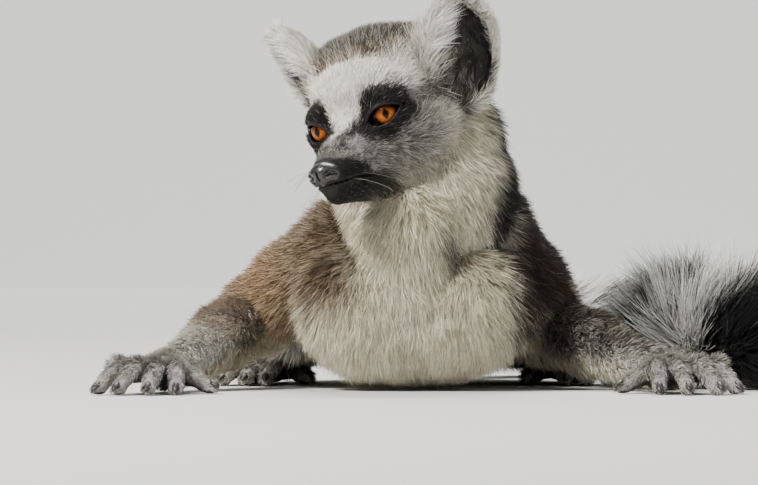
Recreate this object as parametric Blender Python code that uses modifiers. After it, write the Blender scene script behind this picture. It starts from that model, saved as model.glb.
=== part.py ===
"""Ring-tailed lemur, life size, lying in a low crouch with its chest up and its head turned.

Run with: blender --background --python part.py
Metres, +Z up, floor at z = 0. The animal faces -Y and its left side is at +X.
Every solid reaches the tips of the coat. Touching solids keep a small gap.
"""
import math

import bmesh
import bpy
from mathutils import Euler, Matrix, Vector

MILLIMETRE = 0.001
GAP = 0.4 * MILLIMETRE            # between any two touching solids
SIDES = {"left": 1.0, "right": -1.0}  # the sign of X on each side of the body
FLOOR_DEPTH = 0.2                 # thickness of the cutter below the floor
FLOOR_SPAN = 2.0


def mm(x, y, z):
    """A point or a size given in millimetres."""
    return Vector((x, y, z)) * MILLIMETRE


# ---------------------------------------------------------------- scene and collections

for old in list(bpy.data.objects):
    bpy.data.objects.remove(old)

lemur = bpy.data.collections.new("ring_tailed_lemur")
cutters = bpy.data.collections.new("cutters")
for group in (lemur, cutters):
    bpy.context.scene.collection.children.link(group)
cutters.hide_render = True


def material(name, colour, roughness):
    made = bpy.data.materials.new(name)
    made.use_nodes = True
    shader = made.node_tree.nodes["Principled BSDF"]
    shader.inputs["Base Color"].default_value = (*colour, 1.0)
    shader.inputs["Roughness"].default_value = roughness
    shader.inputs["Metallic"].default_value = 0.0
    made.diffuse_color = (*colour, 1.0)
    return made


COATS = {
    "coat_brown": material("coat_brown", (0.26, 0.17, 0.10), 0.85),
    "coat_grey": material("coat_grey", (0.42, 0.38, 0.33), 0.85),
    "coat_cream": material("coat_cream", (0.76, 0.71, 0.60), 0.85),
    "coat_white": material("coat_white", (0.80, 0.78, 0.74), 0.85),
    "tail_rings": material("tail_rings", (0.22, 0.21, 0.20), 0.85),
    "nose_leather": material("nose_leather", (0.012, 0.011, 0.012), 0.35),
    "eye_amber": material("eye_amber", (0.72, 0.24, 0.03), 0.08),
}

# ---------------------------------------------------------------- shapes


def ball(bm, centre, radii, turn=None):
    """An ellipsoid, turned about its centre."""
    place = Matrix.Translation(centre)
    if turn is not None:
        place = place @ turn.to_4x4()
    place = place @ Matrix.Diagonal((*radii, 1.0))
    bmesh.ops.create_uvsphere(bm, u_segments=28, v_segments=18, radius=1.0, matrix=place)


def rod(bm, start, end, start_radius, end_radius):
    """A round, tapered length between two points, with a ball at each end."""
    along = end - start
    place = Matrix.Translation((start + end) / 2) @ along.to_track_quat("Z", "Y").to_matrix().to_4x4()
    bmesh.ops.create_cone(bm, cap_ends=True, segments=28, radius1=start_radius,
                          radius2=end_radius, depth=along.length, matrix=place)
    for centre, radius in ((start, start_radius), (end, end_radius)):
        ball(bm, centre, (radius,) * 3)


def chain(bm, points, radii):
    """Tapered rods through a row of points."""
    for i in range(len(points) - 1):
        rod(bm, points[i], points[i + 1], radii[i], radii[i + 1])


def object_from(name, bm, coat):
    mesh = bpy.data.meshes.new(name)
    bm.to_mesh(mesh)
    bm.free()
    made = bpy.data.objects.new(name, mesh)
    made.data.materials.append(COATS[coat])
    lemur.objects.link(made)
    return made


def bake_modifiers(made):
    """Replaces an object's mesh with what its modifiers make of it."""
    graph = bpy.context.evaluated_depsgraph_get()
    mesh = bpy.data.meshes.new_from_object(made.evaluated_get(graph))
    made.modifiers.clear()
    made.data = mesh
    return made


def triangle_count(made):
    made.data.calc_loop_triangles()
    return len(made.data.loop_triangles)


def thin(made, triangles):
    """Brings a body down to about that many triangles."""
    if triangle_count(made) > triangles:
        collapse = made.modifiers.new("thin", "DECIMATE")
        collapse.ratio = triangles / triangle_count(made)
        collapse.use_collapse_triangulate = True
        bake_modifiers(made)
    made.data.shade_smooth()


def moulded(name, bm, coat, voxel, smoothing, triangles):
    """Joins overlapping closed shapes into one smooth closed body with about that many triangles."""
    made = object_from(name, bm, coat)
    remesh = made.modifiers.new("join", "REMESH")
    remesh.mode = "VOXEL"
    remesh.voxel_size = voxel * MILLIMETRE
    smooth = made.modifiers.new("smooth", "SMOOTH")
    smooth.factor = 0.5
    smooth.iterations = smoothing
    bake_modifiers(made)
    thin(made, triangles)
    return made


def grown_copy(source):
    """A cutter one gap larger than a solid."""
    made = bpy.data.objects.new("clear_of_" + source.name, source.data.copy())
    cutters.objects.link(made)
    made.hide_render = True
    made.display_type = "WIRE"
    swell = made.modifiers.new("gap", "DISPLACE")
    swell.strength = GAP
    swell.mid_level = 0.0
    return bake_modifiers(made)


def largest_body(made):
    """Keeps the biggest connected piece that a cut has left."""
    bm = bmesh.new()
    bm.from_mesh(made.data)
    unseen = set(bm.verts)
    groups = []
    while unseen:
        group, todo = set(), [unseen.pop()]
        while todo:
            vert = todo.pop()
            group.add(vert)
            for edge in vert.link_edges:
                other = edge.other_vert(vert)
                if other in unseen:
                    unseen.remove(other)
                    todo.append(other)
        groups.append(group)
    keep = max(groups, key=len)
    bmesh.ops.delete(bm, geom=[v for v in bm.verts if v not in keep], context="VERTS")
    bm.to_mesh(made.data)
    bm.free()


def cut(made, cutter):
    trim = made.modifiers.new("cut", "BOOLEAN")
    trim.operation = "DIFFERENCE"
    trim.solver = "EXACT"
    trim.object = cutter
    bake_modifiers(made)


def corners(made):
    """Lowest and highest corner of an object whose place is in its mesh."""
    places = [v.co for v in made.data.vertices]
    low = Vector([min(p[i] for p in places) for i in range(3)])
    high = Vector([max(p[i] for p in places) for i in range(3)])
    return low, high


def near(first, second):
    low_a, high_a = corners(first)
    low_b, high_b = corners(second)
    return all(low_a[i] < high_b[i] + GAP and low_b[i] < high_a[i] + GAP for i in range(3))


# ---------------------------------------------------------------- pose

HEAD_CENTRE = mm(-15.5, -4, 120.5)
HEAD_TURN = (Euler((0, 0, math.radians(-31))).to_matrix()
             @ Euler((math.radians(11.5), 0, 0)).to_matrix()
             @ Euler((0, math.radians(-12.5), 0)).to_matrix())

# The joints of each limb, in millimetres: (across, along, up). Across is outwards from the midline.
ARM = {
    "left": {"shoulder": (30, 30, 73), "elbow": (60, 56, 28), "wrist": (109, -14, 10)},
    "right": {"shoulder": (31, 28, 60), "elbow": (71, 56, 34), "wrist": (109, -19, 10)},
}
LEG = {
    "left": {"hip": (36, 196, 44), "knee": (58, 98, 31), "ankle": (66, 178, 13), "ball": (78, 116, 7)},
    "right": {"hip": (24, 196, 44), "knee": (55, 96, 31), "ankle": (57, 178, 13), "ball": (74, 115, 7)},
}


def joint(limbs, side, name):
    across, along, up = limbs[side][name]
    return mm(across * SIDES[side], along, up)


def in_head(across, forward, up):
    """A point of the head, given in its own frame, placed in the body."""
    return HEAD_CENTRE + HEAD_TURN @ mm(across, -forward, up)


nodes = []

# ---------------------------------------------------------------- eyes and nose pad

EYE_RADIUS = 8.2
EYE_PLACE = (15.6, 18.5, 3.5)     # across, forward, up in the head
for side, sign in SIDES.items():
    bm = bmesh.new()
    centre = in_head(EYE_PLACE[0] * sign, EYE_PLACE[1], EYE_PLACE[2])
    bmesh.ops.create_uvsphere(bm, u_segments=12, v_segments=8, radius=EYE_RADIUS * MILLIMETRE,
                              matrix=Matrix.Translation(centre) @ HEAD_TURN.to_4x4())
    eye = object_from("eye_" + side, bm, "eye_amber")
    eye.data.shade_smooth()
    nodes.append(eye)

bm = bmesh.new()
ball(bm, in_head(0, 57.5, -11.5), mm(6.4, 5.0, 4.9), HEAD_TURN)
ball(bm, in_head(0, 56.5, -15.0), mm(3.4, 4.5, 4.0), HEAD_TURN)
nodes.append(moulded("nose", bm, "nose_leather", 0.7, 4, 140))

# ---------------------------------------------------------------- head

HEAD_BALLS = (  # across, forward, up, then the three radii
    (0, -9, 11, 32, 35, 31.5),    # braincase
    (0, 10, 13, 26, 20, 17.5),    # forehead
    (0, 14, -5, 25, 16, 17),      # middle of the face
)
CHEEK = (20, -2, -10, 16, 24, 17)
BROW = (15, 19, 11, 9, 7, 6)
TEMPLE = (14.5, -8, 20.5, 17, 21, 20)
bm = bmesh.new()
for across, forward, up, *radii in HEAD_BALLS:
    ball(bm, in_head(across, forward, up), mm(*radii), HEAD_TURN)
for sign in SIDES.values():
    for across, forward, up, *radii in (CHEEK, BROW, TEMPLE):
        ball(bm, in_head(across * sign, forward, up), mm(*radii), HEAD_TURN)
chain(bm, [in_head(0, 20, -7), in_head(0, 39, -11), in_head(0, 51.5, -13.5)],
      [0.0160, 0.0118, 0.0094])
chain(bm, [in_head(0, 6, -21), in_head(0, 30, -21.5), in_head(0, 46, -20.5)],
      [0.0150, 0.0098, 0.0068])
head = moulded("head", bm, "coat_grey", 1.6, 5, 720)
nodes.append(head)

# ---------------------------------------------------------------- ears

EAR_ROOT = (32.5, -11, 4)           # across, forward, up in the head
# Each ear: its lean outwards and forwards and its cup's heading outwards from straight ahead, in
# degrees, then how far its middle is outwards and up from its root.
EAR_POSE = {"left": (21.0, 6.0, 44.0, 4.5, 20.0), "right": (28.0, -10.0, 40.0, -8.0, 23.0)}
EAR_HALF = (18.5, 9.5, 26.5)      # half width, half depth, half height
CUP_HALF = (11.5, 8.5, 20.0)
EAR_TRIANGLES = 290
CUP_FORWARD = 8.5                 # from the middle of the shell to that of its cup
for side, sign in SIDES.items():
    outwards, forwards, facing, beside, rise = EAR_POSE[side]
    lean = (HEAD_TURN @ Euler((0, math.radians(outwards) * sign, 0)).to_matrix()
            @ Euler((math.radians(forwards), 0, 0)).to_matrix()
            @ Euler((0, 0, math.radians(facing) * sign)).to_matrix())
    root = in_head(EAR_ROOT[0] * sign, EAR_ROOT[1], EAR_ROOT[2])
    centre = root + lean @ mm(beside * sign, 0, rise)
    bm = bmesh.new()
    ball(bm, centre, mm(*EAR_HALF), lean)
    ball(bm, root, mm(13, 9, 12), lean)
    ear = moulded("ear_" + side, bm, "coat_white", 1.4, 4, 340)
    bm = bmesh.new()
    ball(bm, centre + lean @ mm(0, -CUP_FORWARD, 1.0), mm(*CUP_HALF), lean)
    cup = object_from("cup_" + side, bm, "coat_white")
    lemur.objects.unlink(cup)
    cutters.objects.link(cup)
    cup.hide_render = True
    cup.display_type = "WIRE"
    cut(ear, cup)
    thin(ear, EAR_TRIANGLES)
    nodes.append(ear)

# ---------------------------------------------------------------- hands and forearms

# Each digit: how far its knuckle is across the palm, its length, and its splay in degrees.
DIGITS = ((9.5, 24, 14), (3.2, 33, 4), (-3.2, 37, -6), (-9.5, 29, -17))
THUMB = (12.0, 24, 52)
PALM_LENGTH = 27
HAND_POINTING = {"left": 14.0, "right": 12.0}  # degrees outwards from straight ahead


def digit(bm, start, heading, length, radius, arch):
    """A finger or toe of three points that arches and comes down on its tip."""
    tip = start + heading * (length * MILLIMETRE)
    tip.z = radius * 0.72 * MILLIMETRE
    middle = start.lerp(tip, 0.5)
    middle.z = max(middle.z, arch * MILLIMETRE)
    chain(bm, [start, middle, tip],
          [radius * MILLIMETRE, radius * MILLIMETRE, radius * 0.86 * MILLIMETRE])


def level(angle):
    """A level direction, turned outwards from straight ahead by an angle in degrees."""
    return Vector((math.sin(math.radians(angle)), -math.cos(math.radians(angle)), 0.0))


for side, sign in SIDES.items():
    wrist = joint(ARM, side, "wrist")
    pointing = HAND_POINTING[side]
    ahead = level(pointing * sign)
    across = Vector((-ahead.y, ahead.x, 0.0)) * -sign    # towards the thumb
    knuckles = wrist + ahead * (PALM_LENGTH * MILLIMETRE)
    knuckles.z = 9.5 * MILLIMETRE
    bm = bmesh.new()
    chain(bm, [wrist, wrist.lerp(knuckles, 0.5)], [0.0092, 0.0090])
    for offset, length, splay in DIGITS:
        start = knuckles + across * (offset * MILLIMETRE)
        rod(bm, wrist.lerp(knuckles, 0.3), start, 0.0075, 0.0056)
        digit(bm, start, level((pointing - splay) * sign), length, 4.6, 11.0)
    offset, length, splay = THUMB
    digit(bm, wrist.lerp(knuckles, 0.45) + across * (0.5 * offset * MILLIMETRE),
          level((pointing - splay) * sign), length, 4.4, 7.0)
    nodes.append(moulded("hand_" + side, bm, "coat_white", 1.1, 3, 310))

for side in SIDES:
    bm = bmesh.new()
    elbow, wrist = joint(ARM, side, "elbow"), joint(ARM, side, "wrist")
    chain(bm, [elbow, elbow.lerp(wrist, 0.4), wrist], [0.0175, 0.0150, 0.0096])
    nodes.append(moulded("forearm_" + side, bm, "coat_grey", 2.2, 5, 160))

SHOULDER_RADIUS = {"left": 0.0265, "right": 0.0290}
for side in SIDES:
    bm = bmesh.new()
    shoulder, elbow = joint(ARM, side, "shoulder"), joint(ARM, side, "elbow")
    chain(bm, [shoulder, shoulder.lerp(elbow, 0.55), elbow],
          [SHOULDER_RADIUS[side], 0.0245, 0.0195])
    nodes.append(moulded("upper_arm_" + side, bm, "coat_brown", 2.6, 6, 190))

# ---------------------------------------------------------------- feet, thighs and shins

TOES = ((8.5, 27, 8), (3.0, 31, 1), (-3.0, 33, -6), (-8.5, 28, -14))
GREAT_TOE = (10.0, 27, 40)
for side, sign in SIDES.items():
    heel = joint(LEG, side, "ankle") + mm(0, 8, -5)
    sole = joint(LEG, side, "ball")
    ahead = (sole - heel).normalized()
    pointing = math.degrees(math.atan2(ahead.x, -ahead.y))
    across = Vector((-ahead.y, ahead.x, 0.0)).normalized() * -sign
    bm = bmesh.new()
    chain(bm, [heel, heel.lerp(sole, 0.5), sole], [0.0085, 0.0082, 0.0085])
    for offset, length, splay in TOES:
        start = sole + across * (offset * MILLIMETRE)
        rod(bm, heel.lerp(sole, 0.6), start, 0.0078, 0.0054)
        digit(bm, start, level(pointing - splay * sign), length, 4.6, 8.5)
    offset, length, splay = GREAT_TOE
    digit(bm, heel.lerp(sole, 0.68) + across * (0.6 * offset * MILLIMETRE),
          level(pointing - splay * sign), length, 5.0, 7.0)
    nodes.append(moulded("foot_" + side, bm, "coat_white", 1.2, 3, 260))

for side in SIDES:
    bm = bmesh.new()
    knee, ankle = joint(LEG, side, "knee"), joint(LEG, side, "ankle")
    chain(bm, [knee, knee.lerp(ankle, 0.5), ankle], [0.0185, 0.0160, 0.0110])
    nodes.append(moulded("shin_" + side, bm, "coat_grey", 2.2, 5, 160))

for side in SIDES:
    bm = bmesh.new()
    hip, knee = joint(LEG, side, "hip"), joint(LEG, side, "knee")
    chain(bm, [hip, hip.lerp(knee, 0.5), knee], [0.034, 0.030, 0.021])
    nodes.append(moulded("thigh_" + side, bm, "coat_grey", 2.8, 6, 180))

# ---------------------------------------------------------------- neck and trunk

BREAST = ((-1, 12, 37), (52, 32, 41))   # centre and radii, in millimetres

bm = bmesh.new()
chain(bm, [mm(7, 14, 113), mm(5, 18, 92), mm(1, 26, 70)], [0.0340, 0.0415, 0.0430])
ball(bm, mm(-3, -8, 72), mm(31, 22, 30))
nodes.append(moulded("neck", bm, "coat_cream", 2.6, 6, 220))

bm = bmesh.new()
chain(bm, [mm(0, 34, 45), mm(3, 90, 48), mm(6, 150, 47), mm(8, 200, 42)],
      [0.047, 0.0495, 0.049, 0.044])
ball(bm, mm(*BREAST[0]), mm(*BREAST[1]))
nodes.append(moulded("trunk", bm, "coat_brown", 3.2, 10, 320))

# ---------------------------------------------------------------- tail

# The middle line from the rump, round the left side, to the tip, lying on the floor.
TAIL_ROUTE = ((13, 226, 44), (30, 256, 30), (68, 280, 24), (116, 276, 23), (148, 240, 22),
              (157, 190, 21), (150, 140, 20), (131, 100, 20), (131, 62, 20), (158, 40, 20),
              (197, 49, 20), (222, 83, 21), (227, 124, 21), (219, 150, 21))
TAIL_RADII = (20, 24, 27, 29, 30, 30, 31, 32, 33, 32, 30, 28, 22, 9)
TAIL_LENGTHS = 6
POINTS_PER_LENGTH = 8


def on_curve(values, position):
    """A smooth value between evenly numbered ones, as in a Catmull-Rom curve."""
    last = len(values) - 1
    i = min(int(position), last - 1)
    t = position - i
    a, b, c, d = (Vector(values[max(0, min(last, i + k))]) for k in (-1, 0, 1, 2))
    return 0.5 * (2 * b + (c - a) * t + (2 * a - 5 * b + 4 * c - d) * t ** 2
                  + (3 * b - a - 3 * c + d) * t ** 3)


def tail_length(number):
    """One length of the tail: a tube of varying width with flat, capped ends."""
    first = number / TAIL_LENGTHS
    last = (number + 1) / TAIL_LENGTHS
    curve = bpy.data.curves.new("tail", "CURVE")
    curve.dimensions = "3D"
    curve.bevel_depth = MILLIMETRE
    curve.bevel_resolution = 3
    curve.use_fill_caps = True
    line = curve.splines.new("POLY")
    line.points.add(POINTS_PER_LENGTH - 1)
    for i, point in enumerate(line.points):
        share = first + (last - first) * i / (POINTS_PER_LENGTH - 1)
        place = share * (len(TAIL_ROUTE) - 1)
        point.co = (*(on_curve(TAIL_ROUTE, place) * MILLIMETRE), 1.0)
        point.radius = on_curve([(r, 0, 0) for r in TAIL_RADII], place).x
    tube = bpy.data.objects.new("tail_tube", curve)
    bpy.context.scene.collection.objects.link(tube)
    graph = bpy.context.evaluated_depsgraph_get()
    mesh = bpy.data.meshes.new_from_object(tube.evaluated_get(graph))
    bpy.data.objects.remove(tube)
    bm = bmesh.new()
    bm.from_mesh(mesh)
    bmesh.ops.remove_doubles(bm, verts=bm.verts, dist=MILLIMETRE * 0.01)
    bmesh.ops.recalc_face_normals(bm, faces=bm.faces)
    made = object_from(f"tail_{number + 1}", bm, "tail_rings")
    made.data.shade_smooth()
    return made


for number in range(TAIL_LENGTHS):
    nodes.append(tail_length(number))

# ---------------------------------------------------------------- parting and the floor

floor_cutter = bmesh.new()
bmesh.ops.create_cube(floor_cutter, size=1.0, matrix=Matrix.Translation((0, 0, -FLOOR_DEPTH / 2))
                      @ Matrix.Diagonal((FLOOR_SPAN, FLOOR_SPAN, FLOOR_DEPTH, 1.0)))
floor = object_from("floor_cutter", floor_cutter, "coat_grey")
lemur.objects.unlink(floor)
cutters.objects.link(floor)
floor.hide_render = True
floor.display_type = "WIRE"

# Each solid gives way to those made before it. A cutter is grown from the whole, uncut shape.
clearances = [grown_copy(made) for made in nodes]
for place, made in enumerate(nodes):
    if corners(made)[0].z < 0:
        cut(made, floor)
    for clearance in clearances[:place]:
        if near(made, clearance):
            cut(made, clearance)
    largest_body(made)
    made.data.shade_smooth()

# ---------------------------------------------------------------- origin under the middle of the animal

low = Vector([min(corners(made)[0][i] for made in nodes) for i in range(3)])
high = Vector([max(corners(made)[1][i] for made in nodes) for i in range(3)])
to_middle = Matrix.Translation((-(low.x + high.x) / 2, -(low.y + high.y) / 2, 0.0))
for made in nodes:
    made.data.transform(to_middle)
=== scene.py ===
"""Ring-tailed lemur, life size, as a museum model: its skin, eyes, nose, whiskers, nails and coat.

The CAD solids give the outline out to the tips of the coat. Lengths here are in millimetres in the
animal's own frame, and every finished mesh is put in metres over the solids.
"""
import math

import bpy
import numpy as np
from mathutils import Euler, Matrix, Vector
from mathutils.kdtree import KDTree


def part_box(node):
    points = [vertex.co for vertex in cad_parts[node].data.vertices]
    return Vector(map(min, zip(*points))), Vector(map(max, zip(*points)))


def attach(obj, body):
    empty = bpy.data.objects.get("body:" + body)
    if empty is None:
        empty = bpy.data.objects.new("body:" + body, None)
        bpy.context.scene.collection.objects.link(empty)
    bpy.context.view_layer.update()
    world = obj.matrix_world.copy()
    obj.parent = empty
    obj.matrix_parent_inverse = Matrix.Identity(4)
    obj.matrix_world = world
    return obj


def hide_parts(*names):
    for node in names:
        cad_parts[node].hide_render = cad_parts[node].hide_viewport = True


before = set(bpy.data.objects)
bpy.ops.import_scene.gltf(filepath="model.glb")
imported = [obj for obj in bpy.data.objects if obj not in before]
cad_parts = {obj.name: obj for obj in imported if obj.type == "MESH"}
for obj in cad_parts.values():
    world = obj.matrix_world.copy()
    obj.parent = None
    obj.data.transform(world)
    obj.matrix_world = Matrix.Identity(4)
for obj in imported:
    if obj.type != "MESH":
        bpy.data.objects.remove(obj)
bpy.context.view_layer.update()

# ---------------------------------------------------------------- skin
# One skin over the whole animal, in place of every solid of flesh. It lies under the coat by the
# hair's own depth, is bare on lids, lips, palms and soles and inside the ears, and rests on the floor.
# Its flesh is rods and eggs that run together, meshed as one surface, finest on the face.

SIDES = {"left": 1.0, "right": -1.0}          # the sign of X on each side of the body
EYE_PLACE = (15.6, 18.5, 3.5)                 # across, forward, up in the head
EYE_RADIUS = 8.2
HEAD_CENTRE = np.array((-15.5, -4.0, 120.5))  # in the animal's frame
HEAD_TURN = np.array(Euler((0, 0, math.radians(-31))).to_matrix()
                     @ Euler((math.radians(11.5), 0, 0)).to_matrix()
                     @ Euler((0, math.radians(-12.5), 0)).to_matrix())
MM = 0.001
FAR = 1e3                                     # farther than any two points of the animal


def in_head(across, forward, up):
    """A point of the head in the animal's frame."""
    return HEAD_CENTRE + HEAD_TURN @ np.array((across, -forward, up), dtype=float)


eye_middle = sum((Vector(corner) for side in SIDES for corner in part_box("eye_" + side)), Vector()) / 4
ORIGIN = np.array(eye_middle) - in_head(0, EYE_PLACE[1], EYE_PLACE[2]) * MM

ARM = {
    "left": {"shoulder": (30, 30, 73), "elbow": (60, 56, 28), "wrist": (109, -14, 10)},
    "right": {"shoulder": (31, 28, 60), "elbow": (71, 56, 34), "wrist": (109, -19, 10)},
}
LEG = {
    "left": {"hip": (36, 196, 44), "knee": (58, 98, 31), "ankle": (66, 178, 13), "ball": (78, 116, 7)},
    "right": {"hip": (24, 196, 44), "knee": (55, 96, 31), "ankle": (57, 178, 13), "ball": (74, 115, 7)},
}
TAIL_ROUTE = np.array(((13, 226, 44), (30, 256, 30), (68, 280, 24), (116, 276, 23), (148, 240, 22),
                       (157, 190, 21), (150, 140, 20), (131, 100, 20), (131, 62, 20), (158, 40, 20),
                       (197, 49, 20), (222, 83, 21), (227, 124, 21), (219, 150, 21)), dtype=float)
TAIL_RADII = np.array((20, 24, 27, 29, 30, 30, 31, 32, 33, 32, 30, 28, 22, 9), dtype=float)
TAIL_CORE = (12.0, 8.5, 7.0, 6.5, 6.5, 6.5, 6.3, 6.0, 6.0, 5.6, 5.2, 4.6, 4.0, 3.0)


def joint(limbs, side, name):
    across, along, up = limbs[side][name]
    return np.array((across * SIDES[side], along, up), dtype=float)


def on_curve(values, position):
    """Smooth values between evenly numbered ones, as in a Catmull-Rom curve."""
    values = np.asarray(values, dtype=float)
    last = len(values) - 1
    i = np.minimum(np.asarray(position).astype(int), last - 1)
    t = np.asarray(position) - i
    if values.ndim > 1:
        t = t[..., None]
    a, b, c, d = (values[np.clip(i + k, 0, last)] for k in (-1, 0, 1, 2))
    return 0.5 * (2 * b + (c - a) * t + (2 * a - 5 * b + 4 * c - d) * t ** 2
                  + (3 * b - a - 3 * c + d) * t ** 3)


def length_of(v):
    return np.sqrt(np.einsum("ij,ij->i", v, v))


def unit(v):
    return v / np.maximum(length_of(v), 1e-9)[:, None]


def step_between(low, high, value):
    """0 below low, 1 above high, smooth between. low may be the larger, which turns it round."""
    t = np.clip((value - low) / (high - low), 0.0, 1.0)
    return t * t * (3 - 2 * t)


def blend(first, second, amount):
    return first + (second - first) * amount


def union(first, second, softness):
    """The nearer of two distances, rounded where they cross."""
    h = np.clip(0.5 + 0.5 * (second - first) / softness, 0.0, 1.0)
    return second + (first - second) * h - softness * h * (1 - h)


def hollow(solid, cutter, softness=0.4):
    return -union(-solid, cutter, softness)


def rod(p, start, end, start_radius, end_radius):
    """Distance to a tapered rod with round ends."""
    start, end = np.asarray(start, dtype=float), np.asarray(end, dtype=float)
    along = end - start
    t = np.clip((p - start) @ along / (along @ along), 0.0, 1.0)
    return length_of(p - start - t[:, None] * along) - (start_radius + (end_radius - start_radius) * t)


def rods_along(p, line):
    """Distances to the rods that join a line of (point, radius) pairs."""
    return [rod(p, here, there, radius, next_radius)
            for (here, radius), (there, next_radius) in zip(line, line[1:])]


def egg(p, centre, radii):
    """Distance to an ellipsoid, close enough near its surface."""
    radii = np.asarray(radii, dtype=float)
    q = (p - np.asarray(centre, dtype=float)) / radii
    near = length_of(q)
    slope = np.maximum(length_of(q / radii), 1e-6)
    return near * (near - 1.0) / slope


# Each stretch of the body: its ends, the outline's radius at each end, the coat's depth there, the
# hair's length, how far it gathers into locks, and which way it lies if not from end to end.
STRETCHES = []


def stretch(kind, start, end, radii, depths, hair, locks, lie=None):
    start, end = np.array(start, dtype=float), np.array(end, dtype=float)
    lie = end - start if lie is None else np.array(lie, dtype=float)
    STRETCHES.append({"kind": kind, "start": start, "end": end, "radii": radii, "depths": depths,
                      "hair": hair, "locks": locks, "lie": lie / np.linalg.norm(lie)})


SPINE = (((0, 34, 45), 47.0), ((3, 90, 48), 49.5), ((6, 150, 47), 49.0), ((8, 200, 42), 44.0))
for (here, radius), (there, next_radius) in zip(SPINE, SPINE[1:]):
    stretch("trunk", here, there, (radius, next_radius), (13, 13), (23, 23), 0.40, (0, 1, -0.25))
NECK = (((7, 14, 113), 34.0), ((5, 18, 92), 41.5), ((1, 26, 70), 43.0))
for (here, radius), (there, next_radius) in zip(NECK, NECK[1:]):
    stretch("neck", here, there, (radius, next_radius), (11, 12.5), (16, 18), 0.45, (0.05, 0.25, -1))
stretch("breast", (-3, -8, 78), (-3, 1, 56), (25, 30), (11, 12), (17, 19), 0.5, (0.1, -0.15, -1))
stretch("breast", (-20, 12, 40), (18, 12, 40), (36, 36), (12, 12), (19, 19), 0.5, (0.0, -0.1, -1))
SHOULDER_RADIUS = {"left": 26.5, "right": 29.0}
for side in SIDES:
    shoulder, elbow, wrist = (joint(ARM, side, name) for name in ("shoulder", "elbow", "wrist"))
    middle = blend(shoulder, elbow, 0.55)
    stretch("upper_arm", shoulder, middle, (SHOULDER_RADIUS[side], 24.5), (10, 9), (11.3, 10.3), 0.12)
    stretch("upper_arm", middle, elbow, (24.5, 19.5), (9, 7.5), (10.3, 9.0), 0.12)
    middle = blend(elbow, wrist, 0.4)
    stretch("forearm", elbow, middle, (17.5, 15.0), (6.5, 5.5), (12, 10), 0.3)
    stretch("forearm", middle, wrist, (15.0, 9.6), (5.5, 2.2), (10, 5), 0.25)
    hip, knee, ankle = (joint(LEG, side, name) for name in ("hip", "knee", "ankle"))
    middle = blend(hip, knee, 0.5)
    stretch("thigh", hip, middle, (34, 30), (12, 11), (20, 18), 0.4)
    stretch("thigh", middle, knee, (30, 21), (11, 7), (18, 13), 0.35)
    middle = blend(knee, ankle, 0.5)
    stretch("shin", knee, middle, (18.5, 16), (6.5, 5.5), (12, 10), 0.3)
    stretch("shin", middle, ankle, (16, 11), (5.5, 3), (10, 6), 0.25)

TAIL_STEPS = 60        # points along the smooth line of the tail
tail_places = np.linspace(0, len(TAIL_ROUTE) - 1, TAIL_STEPS)
tail_line = on_curve(TAIL_ROUTE, tail_places)
tail_outline = on_curve(TAIL_RADII, tail_places)
tail_core = on_curve(TAIL_CORE, tail_places)
tail_run = np.concatenate(([0.0], np.cumsum(length_of(np.diff(tail_line, axis=0)))))

# Digits: how far across the palm each starts, its length, and its splay in degrees.
FINGERS = ((9.5, 24, 14), (3.2, 33, 4), (-3.2, 37, -6), (-9.5, 29, -17))
TOES = ((8.5, 27, 8), (3.0, 31, 1), (-3.0, 33, -6), (-8.5, 28, -14))
DIGIT_RADIUS = 3.45
THUMB = (24, 52, 3.5)  # its length, its splay and its radius
BIG_TOE = (27, 40, 4.2)
HAND_POINTING = {"left": 14.0, "right": 12.0}  # degrees outwards from straight ahead
PALM_LENGTH = 27.0
KNUCKLE_HEIGHT = 9.0
FINGER_ARCH, TOE_ARCH, THUMB_ARCH = 11.6, 8.5, 7.0  # heights of the middle joints


def level(angle):
    """A level direction, turned outwards from straight ahead by an angle in degrees."""
    return np.array((math.sin(math.radians(angle)), -math.cos(math.radians(angle)), 0.0))


def digit(start, heading, length, radius, arch):
    """The rods of one finger or toe: knuckle, two joints and the tip with its pad."""
    tip = start + heading * length
    tip[2] = radius * 0.80
    bend = blend(start, tip, 0.40)
    bend[2] = max(bend[2], arch)
    last = blend(start, tip, 0.76)
    last[2] = blend(bend[2], tip[2], 0.52)
    radii = (radius * 0.98, radius * 1.02, radius * 0.86, radius * 0.92)
    points = (start, bend, last, tip)
    return [(points[i], points[i + 1], radii[i], radii[i + 1]) for i in range(3)]


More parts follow.
